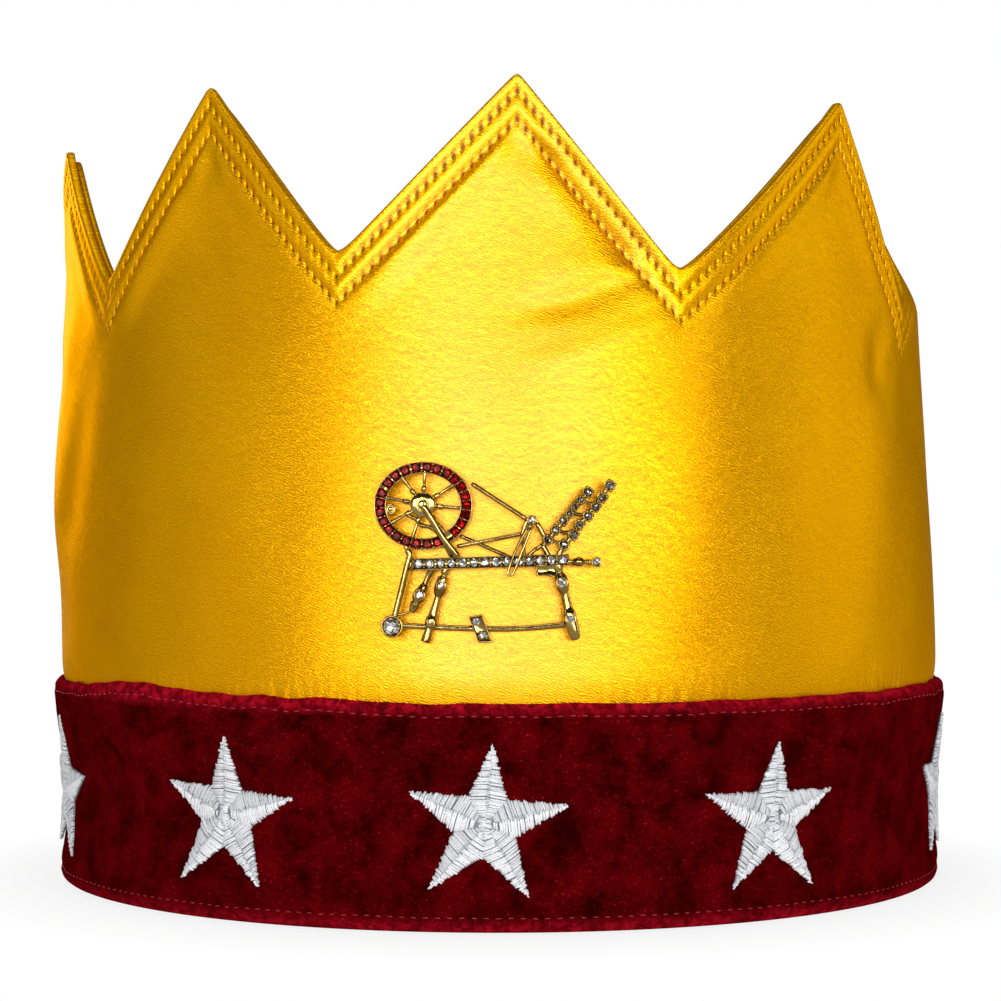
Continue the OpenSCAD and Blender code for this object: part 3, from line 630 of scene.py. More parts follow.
def wallSurface(perHalf, levelRows, hemRows, bottomRows, backRows, inset, thickness, facing, hemStrength):
    # one layer of cloth: a closed ring of sections, up the side that shows and down the other.
    # facing is 1 for the outer cloth and -1 for the lining, whose seen side looks inward
    columns, stitchTotal = crownColumns(perHalf)
    angle, edge, share, lean, count, cosine, pucker, sharpEdge = columns[:, :, None]
    if facing < 0:
        edge = edge - wall["liningTips"] * share ** 6
    # up the side that shows: rows near the bottom, even rows, then rows that follow the hem
    drops = np.concatenate([np.linspace(15, 3, hemRows), [2.4, 1.8, 1.2, 0.7, 0.3]])[None]
    low = np.array(bottomRows)[None]
    top = edge - drops - (edge - sharpEdge) * easeStep(drops / 4)
    middle = (np.linspace(0, 1, levelRows, endpoint=False)[None] + 1 / levelRows) * (levelRows / (levelRows + 1))
    heights = np.concatenate([np.broadcast_to(low, (len(edge), low.shape[1])),
                              low[0, -1] + (top[:, :1] - low[0, -1]) * middle, top], 1)
    distance = hemDistance(sharpEdge - heights, share, cosine)
    seen = wallRadius(angle, heights, share, lean) - (inset if facing > 0 else inset + thickness)
    relief = hemRelief(count, distance, share, pucker, hemStrength)
    gatherDepth, gatherAt, gatherSpread = wall["gathers"]
    gathers = gatherDepth * bell((heights - gatherAt) / gatherSpread) * wrinkles(angle, heights, 5, 30, 330, 0.5)
    creaseDepth, creaseFrom = wall["creases"]
    creases = creaseDepth * easeStep((heights - creaseFrom) / 8) * easeStep((distance - 7) / 6) \
        * wrinkles(angle, heights, 8, 22, 26, 0.12)
    seen = seen + facing * (relief + gathers + creases)
    # over the top edge
    turns = np.radians([35, 65, 90, 115, 145])[None]
    middleRadius = wallRadius(angle, edge - 0.6, share, lean) - inset - thickness / 2
    half = thickness / 2 + 0.1 * (turns > np.pi / 2)
    capRadius = middleRadius + facing * (hemStrength * hem["proud"] * (turns < np.pi / 2) + np.cos(turns) * half)
    capHeight = edge - 0.35 + 0.35 * np.sin(turns)
    # down the hidden side
    fall = np.linspace(0, 1, backRows)[None] ** 1.6
    backHeight = (edge - 1.2) * (1 - fall) + bottomRows[0] * fall
    back = wallRadius(angle, backHeight, share, lean) - (inset + thickness if facing > 0 else inset)
    radius = np.concatenate([seen, capRadius, back], 1)
    height = np.concatenate([heights, capHeight, backHeight], 1)
    flow = np.concatenate([distance, np.full_like(capRadius, -0.3), np.full_like(back, -3)], 1)
    # maps: cloth is (length round, height) in mm, hem is (stitches, distance)
    quads, steps = gridQuads(*radius.shape, closeU=True, closeV=True)
    if facing < 0:
        quads, steps = quads[:, ::-1], steps[:, ::-1]
    around = np.radians(np.append(angle[:, 0], angle[0, 0] + 360)) * wall["rimRadius"]
    counts = np.append(count[:, 0], stitchTotal)
    i, j = steps[..., 0], steps[..., 1] % radius.shape[1]
    wrapped = i % radius.shape[0]
    maps = {"cloth": np.stack([around[i], height[wrapped, j]], -1), "hem": np.stack([counts[i], flow[wrapped, j]], -1)}
    return onRound(angle, radius, height), quads, maps


def buildSatin():
    bottom = wall["bottom"]
    points, quads, maps = wallSurface(
        perHalf=64, levelRows=46, hemRows=20, bottomRows=[bottom, 18, 38.5], backRows=14,
        inset=0, thickness=wall["satinThick"], facing=1, hemStrength=1.0)
    addPiece("satin_cover", points, [quads], satinMaterial, ["satin_wall"], maps)
    points, quads, maps = wallSurface(
        perHalf=36, levelRows=26, hemRows=14, bottomRows=[bottom, 20, 42], backRows=20,
        inset=wall["satinThick"] + wall["layerGap"], thickness=wall["liningThick"], facing=-1, hemStrength=0.55)
    addPiece("satin_inner", points, [quads], shadedLiningMaterial, ["satin_lining"], maps)


buildSatin()
print("satin ready")


# Stitches

stitch = {
    "share": 0.6,               # how much of the pitch shows as thread
    "sink": 0.2,                # how far the threads' middle lies below the wall's plain surface
    "thread": {"radius": 0.21, "height": 0.16, "around": 8, "along": 6},
}


def capsuleRows(starts, ends, ups, radius, height, around, along):
    # rounded thread lengths: rings along the line from start to end, whose size follows the square
    # root of 1 - s^6, and which dip at both ends; ups is the direction away from the cloth
    line = ends - starts
    length = np.linalg.norm(line, axis=1, keepdims=True)
    line = line / length
    side = np.cross(line, ups)
    side = side / np.linalg.norm(side, axis=1, keepdims=True)
    up = np.cross(side, line)
    s = np.linspace(-1, 1, along)
    t = fullTurn(around)
    ring = np.sqrt(np.maximum(0.04, 1 - np.abs(s) ** 6))[:, None, None]
    centres = ((starts + ends) / 2)[:, None, None] \
        + line[:, None, None] * (length[:, None, None] / 2 * s[None, :, None, None])
    dips = up[:, None, None] * (-0.75 * height * (s[None, :, None, None] ** 4))
    circles = side[:, None, None] * (radius * ring * np.cos(t)[None, :, None])[None] \
        + up[:, None, None] * (height * ring * np.sin(t)[None, :, None])[None]
    count = len(starts)
    shape, steps = tubeFaces(along, around)
    faces = [manyQuads(f, along * around, count) for f in shape]
    # on the map, each length has its own stretch of thread
    mapU = (s[None, :] * length / 2)[:, steps[..., 0]] + np.arange(count)[:, None, None] * 3.7
    mapV = np.broadcast_to(steps[..., 1] * (2 * np.pi * radius / around), mapU.shape)
    quadMap = np.stack([mapU, mapV], -1).reshape(-1, 2)
    capMap = np.zeros((2 * count * around, 2))
    return (centres + dips + circles).reshape(-1, 3), faces, {"thread": np.concatenate([quadMap, capMap])}


def hemStitchEnds(row, rest, facing):
    # ends of the stitches of one row, on the cloth, and the direction away from it
    columns, total = crownColumns(256)
    angle, _, share, lean, count, _, _, sharpEdge = columns
    count = np.append(count, total)
    path = [np.append(v, v[0] + (360 if k == 0 else 0))
            for k, v in enumerate((angle, sharpEdge - rowDrop(row, share), share, lean))]
    number = np.arange(int(round(total)))
    gap = (1 - stitch["share"]) / 2
    ends = []
    for where in (number + gap, number + 1 - gap):
        a, z, f, ln = [np.interp(where, count, v) for v in path]
        ends.append(onRound(a, wallRadius(a, z, f, ln) - rest, z))
    middle = np.interp(number + 0.5, count, path[0])
    return ends[0], ends[1], onRound(middle, facing, 0.0)


def buildHemStitches():
    depth = wall["satinThick"] + wall["layerGap"] + wall["liningThick"]
    for name, rest, facing in (("hem_stitches", stitch["sink"], 1), ("hem_stitches_inside", depth - 0.02, -1)):
        rows = [hemStitchEnds(row, rest, facing) for row in (0, 1)]
        starts, ends, ups = (np.concatenate(v) for v in zip(*rows))
        points, faces, maps = capsuleRows(starts, ends, ups, **stitch["thread"])
        addPiece(name, points, faces, stitchMaterial, uv=maps)


buildHemStitches()
print("hem stitches ready")


# The velvet band

band = {
    "inner": 90.7, "turnUnder": 1.3, "wallGap": 0.2, "columns": 720, "rows": 74,
    "stretchRange": (20, 43),                           # heights between which the upper part is drawn up
    "threadRows": (2.9, 40.7), "threadPitch": 2.3,      # the sewn rows near both edges
    "thread": {"radius": 0.12, "height": 0.1, "around": 6, "along": 5},
}
# height, how far it lies outside the rim's radius
bandProfile = np.array([
    [0, 1.5], [0.25, 2.1], [1.0, 2.85], [2.6, 3.15], [6, 2.9], [12, 2.2], [18, 1.9], [24, 2.1], [30, 3.0],
    [35, 3.8], [38.5, 4.2], [40.8, 4.25], [42.2, 3.75], [42.9, 3.0], [43.05, 2.4]])


def throughRows(rows, count):
    # Catmull-Rom curve through the rows, at count even steps
    padded = np.vstack([2 * rows[:1] - rows[1:2], rows, 2 * rows[-1:] - rows[-2:-1]])
    s = np.linspace(0, len(rows) - 1, count)
    k = np.minimum(s.astype(int), len(rows) - 2)
    t = (s - k)[:, None]
    p0, p1, p2, p3 = (padded[k + n] for n in range(4))
    square = 2 * p0 - 5 * p1 + 4 * p2 - p3
    cube = 3 * p1 - p0 - 3 * p2 + p3
    return 0.5 * (2 * p1 + (p2 - p0) * t + square * t ** 2 + cube * t ** 3)


def bandLift(angle, height):
    # the upper part rides up a little, most on the left of the front
    rise = 2.0 * bell(turnTo(angle, -48) / 13) + 0.7 * bell(turnTo(angle, -23) / 9)
    return (rise + 0.12 * wrinkles(angle, 0, 21, 10, 60, 0)) * easeBetween(height, *band["stretchRange"])


def bandRelief(angle, height):
    # soft unevenness of the velvet, drawn in on the left side
    soft = 0.16 * wrinkles(angle, height, 31, 24, 30, 0.22)
    fine = 0.05 * wrinkles(angle, height, 32, 24, 160, 1.2)
    drawnIn = 0.8 * bell(turnTo(angle, -92) / 16) * bell((height - 11) / 9)
    grooves = sum(0.22 * bell((height - z) / 0.5) for z in band["threadRows"])
    return (soft + fine) * easeStep(height / 3) - drawnIn - grooves


def bandSurfaceRadius(angle, height):
    # radius of the velvet that shows
    offset = np.interp(height, bandProfile[:, 0], bandProfile[:, 1])
    return wall["rimRadius"] + offset + bandRelief(angle, height)


def buildBand():
    # the map's seam lies at the back
    angle = np.arange(band["columns"])[:, None] * 360 / band["columns"] - 180
    profile = throughRows(bandProfile, band["rows"])
    height = profile[None, :, 0]
    radius = wall["rimRadius"] + profile[None, :, 1] + bandRelief(angle, height)
    height = height + bandLift(angle, height)
    # tucked in behind the top edge, down the inside and under the wall: height, distance outside the rim
    under, gap, inner = band["turnUnder"], band["wallGap"], band["inner"] - wall["rimRadius"]
    tuck = np.array([(42.6, 2.45), (40, 2.75), (36, 1.3), (30, gap), (12, gap), (under, gap), (under, inner),
                     (0, inner)])
    radius = np.concatenate([radius, wall["rimRadius"] + tuck[None, :, 1] + 0 * angle], 1)
    height = np.concatenate([height, tuck[None, :, 0] + 0 * angle], 1)
    nu, nv = radius.shape
    quads, steps = gridQuads(nu, nv, closeU=True, closeV=True)
    around = steps[..., 0] * (2 * np.pi * wall["rimRadius"] / band["columns"])
    clothMap = np.stack([around, height[steps[..., 0] % nu, steps[..., 1] % nv]], -1)
    addPiece("velvet_cover", onRound(angle, radius, height), [quads], velvetMaterial, ["velvet_band"],
             {"cloth": clothMap})


def buildBandStitches():
    rows = []
    for z in band["threadRows"]:
        count = round(2 * math.pi * (wall["rimRadius"] + 3) / band["threadPitch"])
        at = np.arange(count) * 360 / count
        rng = np.random.default_rng(int(z * 10))
        gap = 360 / count * 0.22
        top = z + bandLift(at, z)
        ends = [onRound(a, bandSurfaceRadius(a, z) + 0.06, top + rng.uniform(-0.06, 0.06, count))
                for a in (at - 180 / count + gap, at + 180 / count - gap)]
        rows.append((ends[0], ends[1], onRound(at, 1.0, 0.0)))
    starts, ends, ups = (np.concatenate(v) for v in zip(*rows))
    points, faces, maps = capsuleRows(starts, ends, ups, **band["thread"])
    addPiece("band_stitches", points, faces, redThreadMaterial, uv=maps)


buildBand()
buildBandStitches()
print("velvet ready")


# The stars

# angle, height, turn, then the reach of the five tips, clockwise from the top one
stars = [
    (-73.0, 20.4, 4.0, 15.8, 15.9, 15.8, 15.9, 15.8), (-33.6, 20.6, 3.9, 15.5, 15.9, 15.9, 17.0, 15.3),
    (-1.5, 20.4, 5.1, 15.5, 16.0, 15.7, 16.4, 15.8), (33.7, 19.9, 1.1, 14.9, 16.1, 16.3, 16.3, 16.7),
    (77.0, 20.3, 2.0, 15.8, 15.8, 15.9, 16.0, 15.9), (112.0, 20.4, 3.5, 15.7, 15.9, 15.8, 16.1, 15.8),
    (147.0, 20.5, 2.5, 15.8, 16.0, 15.7, 15.9, 15.9), (182.0, 20.2, 4.5, 15.6, 15.8, 16.0, 15.9, 15.7),
    (217.0, 20.6, 3.0, 15.7, 15.9, 15.9, 16.0, 15.8), (252.0, 20.3, 1.5, 15.9, 15.8, 15.7, 16.1, 15.9)]
starLook = {
    "inner": 0.4,                               # the valleys' distance from the centre, as a share of the tips'
    "pitch": 0.45, "slant": 7,                  # distance between threads, and their slant in degrees
    "threadWidth": 0.235, "threadHeight": 0.18,
    "padHeight": 1.0, "edgeHeight": 0.28,       # rise of the padding on the arms' middle lines and at their edges
}


def starPoint(star, flat, lift):
    # wraps a point of the star's own plane round the band, lift mm off the velvet's plain profile
    angle, z = star[0], star[1] + flat[..., 1]
    centreRadius = wall["rimRadius"] + np.interp(star[1], bandProfile[:, 0], bandProfile[:, 1])
    radius = wall["rimRadius"] + np.interp(z, bandProfile[:, 0], bandProfile[:, 1]) + lift
    return onRound(angle + np.degrees(flat[..., 0] / centreRadius), radius, z)


def starThreads(star, seed):
    # satin stitch: on each half of each arm, threads run from the arm's middle line to its edge;
    # a thread starts at distance t from the centre, and its reach follows the star's outline
    rng = np.random.default_rng(seed)
    reach = np.array(star[3:])
    inner = reach.mean() * starLook["inner"]
    halfArm = math.radians(36)
    slant = -math.tan(math.radians(starLook["slant"]))
    starts, ends, places, tonesAndSheen = [], [], [], []
    for arm in range(5):
        for side in (-1, 1):
            turn = math.radians(90 - star[2] - 72 * arm)
            forward = np.array([math.cos(turn), math.sin(turn)])
            across = side * np.array([-forward[1], forward[0]])
            valleyAt, valleyWide = inner * math.cos(halfArm), inner * math.sin(halfArm)
            # the top arm's threads run on over the middle, where the other arms stop short
            nearest = rng.uniform(1.0, 2.4) if arm else rng.uniform(-2.2, -1.6)
            t = np.arange(nearest, reach[arm] - 0.12, starLook["pitch"])
            t = t + rng.normal(0, 0.07, len(t))
            beyond = valleyWide * (reach[arm] - t) / (reach[arm] - valleyAt)
            wide = np.where(t < valleyAt, t * math.tan(halfArm), beyond)
            wide = np.maximum(wide, 0.12 if arm else np.maximum(0.12, 1.5 - 0.35 * np.abs(t + 0.3)))
            outer = wide + rng.uniform(-0.25, 0.34, len(t)) * (t > valleyAt)
            first = forward * t[:, None] - across * rng.uniform(0.05, 0.22, len(t))[:, None]
            last = forward * (t + slant * outer + rng.normal(0, 0.05, len(t)))[:, None] + across * outer[:, None]
            starts.append(first)
            ends.append(last)
            # painted sheen: halves that are laid downwards are painted whiter, on top of a random tone for each thread
            tonesAndSheen.append(np.round(2.9 - 1.5 * across[1] + rng.uniform(-1.1, 1.1, len(t))))
            places.append(np.stack([np.abs(t) / reach[arm], outer, np.full(len(t), 0.0 if arm else 0.14)], -1))
    starts, ends, places, tonesAndSheen = map(np.concatenate, (starts, ends, places, tonesAndSheen))
    count = len(starts)
    # rings along a thread, as shares of its length
    s = np.array([0.0, 0.18, 0.45, 0.75, 0.93, 1.0])
    middle = starts[:, None] + (ends - starts)[:, None] * s[None, :, None]
    # height of the pad: highest on the middle lines, falling to the edge and towards the tips
    ridge = starLook["padHeight"] * (0.42 + 0.58 * easeStep((1 - places[:, 0]) / 0.85))
    ridge = ridge * (0.55 + 0.45 * np.minimum(1, places[:, 1] / 1.2))
    edge = starLook["edgeHeight"]
    lift = edge + (ridge - edge)[:, None] * (1 - s[None] ** 1.8) + rng.normal(0, 0.04, count)[:, None]
    # each thread dives into the cloth at both ends
    lift = np.maximum(lift - np.array([0.34, 0.08, 0, 0, 0.14, 0.42])[None], -0.1)
    lift = lift + 0.3 + places[:, 2:] * easeStep(1.6 - 8 * places[:, :1])
    line = (ends - starts) / np.linalg.norm(ends - starts, axis=1, keepdims=True)
    normal = np.stack([-line[:, 1], line[:, 0]], -1)
    # cross section: flat underneath, thinner at the ends
    turns = np.radians([-25, 20, 65, 115, 160, 205])
    size = np.array([0.75, 1, 1, 1, 0.95, 0.55])
    offset = starLook["threadWidth"] * np.cos(turns)[None, :] * size[:, None]
    rise = starLook["threadHeight"] * np.sin(turns)[None, :] * size[:, None]
    flat = middle[:, :, None] + normal[:, None, None] * offset[None, :, :, None]
    points = starPoint(star, flat, lift[:, :, None] + rise[None])
    shape, steps = tubeFaces(len(s), len(turns), flip=True)
    faces = [manyQuads(f, len(s) * len(turns), count) for f in shape]
    length = np.linalg.norm(ends - starts, axis=1)
    mapU = s[steps[..., 0]][None] * length[:, None, None] + np.arange(count)[:, None, None] * 2.3
    # painted shade: here and there a thread is painted dark where it starts at the arm's middle line
    paintedDipShade = rng.choice([0, 0, 1, 4], count)[:, None, None] * (steps[..., 0].min(-1) == 0)[None, :, None]
    mapV = steps[..., 1][None] * 0.12 + np.clip(tonesAndSheen[:, None, None] - paintedDipShade, 0, 4)
    quadMap = np.stack([mapU, mapV], -1).reshape(-1, 2)
    return points.reshape(-1, 3), faces, np.concatenate([quadMap, np.zeros((count * len(turns) * 2, 2))])


def starPad(star):
    # the padding under the threads: rings that run from the outline to the centre, over a flat base
    reach = np.array(star[3:])
    inner = reach.mean() * starLook["inner"]
    k = np.arange(10)
    r = np.where(k % 2 == 0, reach[k // 2], inner) * 0.97
    b = np.radians(90 - star[2] - 36 * k)
    outline = np.stack([r * np.cos(b), r * np.sin(b)], -1)
    edges = np.roll(outline, -1, 0) - outline
    fine = np.concatenate([outline + edges * t for t in (0, 0.25, 0.5, 0.75)], 1).reshape(-1, 2)
    shares = np.array([1.0, 1.0, 0.97, 0.85, 0.65, 0.45, 0.25, 0.06])
    lifts = np.array([-0.05, 0.28, 0.42, 0.5, 0.6, 0.72, 0.85, 0.95])
    top = starPoint(star, fine[:, None] * shares[None, :, None], lifts[None] * np.ones((len(fine), 1)))
    quads = gridQuads(*top.shape[:2], closeU=True)[0]
    base = (np.arange(len(fine)) * len(shares))[None]
    faces = [quads[:, ::-1], base[:, ::-1] + len(shares) - 1, base]
    # the pad's map lies at -5, so the pad is painted all in the dark gap shade colour
    return top.reshape(-1, 3), faces, np.tile([0.0, -5.0], (sum(f.size for f in faces), 1))


def buildStars():
    for number, star in enumerate(stars):
        padPoints, padFaces, padMap = starPad(star)
        points, faces, threadMap = starThreads(star, 100 + number)
        allFaces = padFaces + [f + len(padPoints) for f in faces]
        addPiece(f"star_stitching_{number + 1}", np.concatenate([padPoints, points]), allFaces, starMaterial,
                 [f"star_{number + 1}"], {"thread": np.concatenate([padMap, threadMap])})


buildStars()
print("stars ready")


# The brooch: soldered metal, worked out in its own plane (x right, y up, z towards the eye)

brooch = {
    "faceRadius": 94.77, "height": 71.4, "around": 16,
    "wheelAt": (-14.15, 8.83), "rimOut": (9.25, 8.25), "rimIn": (6.95, 6.1), "rimStones": (8.15, 7.25),
    "hubAt": (-14.2, 9.0), "spokeHeight": 1.15, "spokes": (33, 86.5, 127.5, 168.5, 209.5, 252.5, 308, 355),
    "rimRuns": ((84.7, 14.9, 5), (161.5, 14.2, 10), (318, 14.2, 9)),   # first angle, spacing, how many stones
    "redStone": 1.8, "rimHeight": 1.8,                                 # width and height of the wheel's stones
    "tableStone": 1.6, "tableHeight": 2.1, "tableLine": ((-15.0, -2.08), (11.9, -1.33)), "tableCount": 14,
    "tableEnds": ((-16.4, -2.15, 0), (13.1, -1.3, 0)), "flaxHeight": 1.7, "bearingAt": (-20, -13.75),
    "bossAt": (-20.3, 8.2),
}
# cross sections: (across, height)
rimSection = np.array([
    [0.03, 0.62], [0, 0.75], [0, 1.62], [0.015, 1.72], [0.045, 1.77], [0.08, 1.74], [0.1, 1.64], [0.105, 1.3],
    [0.12, 1.22], [0.88, 1.22], [0.895, 1.3], [0.9, 1.64], [0.92, 1.74], [0.955, 1.77], [0.985, 1.72], [1, 1.62],
    [1, 0.75], [0.97, 0.62]])
tableSection = np.array([
    [-1.06, 0.52], [-1.12, 0.6], [-1.12, 1.95], [-1.09, 2.07], [-1.02, 2.13], [-0.94, 2.1], [-0.89, 1.98],
    [-0.88, 1.55], [-0.85, 1.48], [0.85, 1.48], [0.88, 1.55], [0.89, 1.98], [0.94, 2.1], [1.02, 2.13], [1.09, 2.07],
    [1.12, 1.95], [1.12, 0.6], [1.06, 0.52]])
# turned pieces: ends, then rows of (distance from the first end, radius)
frontLeg = ((-9.9, -2.9, 1.3), (-13.75, -16.8, 1.3))
rearLeg = ((-12.5, -2.9, 1.3), (-16.4, -11.2, 1.3))
endLeg = ((11, -2.2, 1.3), (14.4, -16.4, 1.3))
turnedPieces = [
    (*frontLeg, [
        (0, 0.75), (0.9, 0.72), (1.3, 0.55), (1.6, 0.6), (1.8, 0.95), (2.6, 1.08), (3.4, 1.18), (4.2, 1.16), (5, 0.92),
        (5.4, 0.7), (5.7, 0.62), (7.5, 0.7), (9.0, 0.8), (9.4, 0.92), (9.8, 1.1), (10.5, 1.16), (11.2, 1.05),
        (11.5, 0.8), (11.8, 0.74), (13, 0.82), (14.2, 0.9), (14.42, 0.6)]),
    (*rearLeg, [
        (0, 0.8), (1.0, 0.6), (2.2, 0.5), (3.2, 0.52), (3.7, 0.75), (4.3, 0.85), (4.9, 1.15), (5.6, 1.24), (6.4, 1.15),
        (7.0, 0.8), (7.3, 0.98), (7.9, 0.9), (8.6, 0.72), (9.1, 0.5)]),
    (*endLeg, [
        (0, 0.95), (0.8, 0.9), (1.4, 0.68), (1.8, 0.8), (2.2, 1.1), (3.2, 1.28), (4.2, 1.25), (5.2, 0.95), (5.6, 0.8),
        (7.0, 0.84), (8.3, 0.92), (8.8, 1.06), (9.4, 1.24), (10.6, 1.28), (11.6, 1.26), (12.8, 1.22), (13.9, 1.05),
        (14.5, 0.7)]),
    # the handle at the table's right end
    ((12.9, -1.65, 1.3), (18, -1.72, 1.3), [
        (0, 0.45), (0.6, 0.4), (0.9, 0.42), (1.3, 0.7), (2.1, 0.95), (2.8, 0.72), (3.2, 0.38), (3.45, 0.4), (3.7, 0.6),
        (3.95, 0.4), (4.4, 0.36), (5.2, 0.4)])]
# bars and wires: route, radius
wires = [
    # bar from the hub to the table, three drive bands, rear fork
    ([(-14.2, 9.0, 2.9), (-12.6, 6.4, 2.85), (-10.6, 3.0, 2.4), (-7.55, -0.9, 1.7)], 0.66),
    ([(-5.1, 13, 1.3), (5.2, 6.3, 1.3)], 0.42),
    ([(-7.8, 1.2, 1.25), (4.4, 3.6, 1.25)], 0.4),
    ([(-7.2, 3.2, 0.85), (2.4, -0.95, 0.95)], 0.36),
    ([(-17.5, 7.25, 0.8), (-15.2, 6.1, 0.8), (-14.9, 5.3, 0.8), (-11.8, 4.1, 0.8), (-8.7, -1, 0.85)], 0.38),
    # footman rod, its two branches, its link to the rear leg, treadle bar
    ([(-17.2, 0.6, 1.2), (-16.7, -0.5, 1.2), (-17.2, -2.6, 1.2), (-18.6, -8.4, 1.2), (-19.6, -12.4, 1.2)], 0.6),
    ([(-17.1, 0.4, 1.2), (-17.8, 1.8, 1.2)], 0.4),
    ([(-16.1, -1.4, 1.2), (-17.4, -4.3, 1.1)], 0.3),
    ([(-16.3, -11, 1.1), (-19.3, -11.7, 1.1)], 0.22),
    ([(-18.4, -13.6, 1), (-11.5, -13.95, 1), (-4, -14.2, 1), (4.5, -14.15, 1), (13.6, -13.35, 1)], 0.56),
    # leather loop, three rods of the post, the loop's knot and peg
    ([(5.4, 4.8, 2.3), (3.2, 0.5, 2.7), (1.75, -3.6, 2.7), (2.2, -4.1, 2.7), (2.8, -3.6, 2.7), (4.5, 0.6, 2.7),
      (6.1, 4.8, 2.3)], 0.27),
    ([(5.4, 6.4, 1.4), (4.2, 3, 1.4)], 0.48),
    ([(7.1, 5.7, 1.35), (8.7, 2.7, 1.2)], 0.5),
    ([(4.4, 3.3, 1.5), (4.8, -1, 1.1)], 0.38),
    ([(5.8, 5.3, 1.0), (5.8, 4.8, 2.5)], 0.6),
    ([(1.95, -3.6, 2.6), (2.1, -2.6, 1.2)], 0.2)]
# the flax: both ends of each stem or link, radius
flaxStems = [
    (8.2, 1.2, 16.7, 11.3, 0.5), (11.4, 0.1, 20.7, 12.5, 0.5), (9.2, 2.3, 6.9, 0.6, 0.36), (7.2, 1, 5.2, -0.9, 0.34),
    (8.1, 1.6, 9.6, -1, 0.5), (11.9, 1, 10.9, -1.2, 0.55), (9.6, 2.6, 12.2, 1.4, 0.3), (10.8, 4.2, 14, 3.5, 0.3),
    (13.4, 7.4, 16.5, 7.1, 0.3), (15.5, 9.9, 18.2, 8.9, 0.3)]
# treadle plate and table bracket: corners, lowest and highest z
plates = [
    ([(-5.6, -11.9), (-3.8, -16.85), (-1.2, -16.7), (-3.2, -11.5)], 0.3, 1.9),
    ([(7, -2.2), (7, -4), (7.4, -4.3), (9, -4.25), (10, -4.4), (11, -4.8), (11, -2.2)], 0.6, 1.7)]
# stones: x, y, z, width
flaxLeft, flaxRight = (
    [(x, y, brooch["flaxHeight"], width) for x, y, width in stem] for stem in (
        [(16.7, 11.35, 1.35), (15.3, 9.9, 1.0), (14.2, 8.6, 0.9), (13.25, 7.4, 0.85), (12.05, 6.05, 1.3),
         (10.65, 4.35, 1.2), (9.2, 2.45, 1.2)],
        [(20.8, 12.6, 1.5), (19.4, 10.4, 1.35), (18.15, 8.65, 1.25), (16.7, 6.9, 1.3), (15.1, 5.25, 1.25),
         (14, 3.35, 1.4), (12.2, 1.5, 1.4)]))


def alongLine(ends, distance, lift):
    # point at that distance along a turned piece, lifted off its middle line
    start, end = np.array(ends[0], float), np.array(ends[1], float)
    return start + (end - start) * distance / np.linalg.norm(end - start) + np.array([0, 0, lift])


singleStones = {
    "treadle_bearing_stone": (*brooch["bearingAt"], 2.4, 3.1),
    "post_stone": (6.2, 6.15, 2.1, 1.25), "handle_stone": (18.3, -1.72, 1.95, 1.35),
    "treadle_stone_top": (-4.2, -12.85, 1.9, 1.5), "treadle_stone_bottom": (-2.9, -15.3, 1.9, 1.6),
    "front_leg_stone_top": (*alongLine(frontLeg, 3.3, 0.95), 1.5),
    "front_leg_stone_bottom": (*alongLine(frontLeg, 10.5, 0.85), 1.15),
    "rear_leg_stone": (*alongLine(rearLeg, 5.5, 0.95), 1.7),
    "end_leg_stone_top": (*alongLine(endLeg, 3.5, 1.1), 1.75),
    "end_leg_stone_bottom": (*alongLine(endLeg, 10.4, 1.1), 1.65)}


def onBrooch(points):
    # from the brooch's plane to the crown
    x, y, z = np.moveaxis(np.asarray(points, float), -1, 0)
    return np.stack([x, -(brooch["faceRadius"] + z), brooch["height"] + y], -1)


def alongRoute(route, spacing):
    # Catmull-Rom curve through the route, at about that spacing
    route = np.array(route, float)
    length = np.linalg.norm(np.diff(route, axis=0), axis=1).sum()
    return throughRows(route, max(3, int(length / spacing) + 1))


def sweep(path, radii, around):
    # a closed tube: circles of the given radii, square to the path, with flat ends
    path = np.asarray(path, float)
    ahead = np.gradient(path, axis=0)
    ahead = ahead / np.linalg.norm(ahead, axis=1, keepdims=True)
    side = np.cross(ahead, (0.0, 0.0, 1.0))
    side = side / np.linalg.norm(side, axis=1, keepdims=True)
    up = np.cross(side, ahead)
    t = fullTurn(around)
    radii = np.broadcast_to(radii, len(path))[:, None, None]
    circles = side[:, None] * np.cos(t)[None, :, None] + up[:, None] * np.sin(t)[None, :, None]
    return (path[:, None] + radii * circles).reshape(-1, 3), tubeFaces(len(path), around)[0]


def turnedPart(start, end, rows, around):
    # a spindle on the line from start to end: circles whose radius follows a curve through the rows
    start, end = np.array(start, float), np.array(end, float)
    smooth = throughRows(np.array(rows, float), len(rows) * 4)
    share = np.clip(smooth[:, :1], 0, None) / np.linalg.norm(end - start)
    return sweep(start + (end - start) * share, np.maximum(smooth[:, 1], 0.05), around)


def lathe(at, rows, around):
    # a round part standing on the plane: rows of (radius, height) turned about the z line through at
    rows = np.array(rows, float)
    t = fullTurn(around)
    ring = np.stack([np.cos(t), np.sin(t)], -1)
    flat = np.array(at)[None, None, :2] + rows[:, None, :1] * ring[None]
    points = np.concatenate([flat, np.broadcast_to(rows[:, None, 1:], flat.shape[:2] + (1,))], -1)
    return points.reshape(-1, 3), tubeFaces(len(rows), around, flip=True)[0]


def ovalBand(at, outer, inner, section, around):
    # the section carried round an oval: across runs from the inner oval to the outer one
    t = fullTurn(around)
    across = section[None, :, :1]
    size = np.array(inner) + (np.array(outer) - np.array(inner)) * across
    flat = np.array(at) + size * np.stack([np.cos(t), np.sin(t)], -1)[:, None]
    points = np.concatenate([flat, np.broadcast_to(section[None, :, 1:], flat.shape[:2] + (1,))], -1)
    quads = gridQuads(around, len(section), closeU=True, closeV=True)[0]
    return points.reshape(-1, 3), [quads[:, ::-1]]


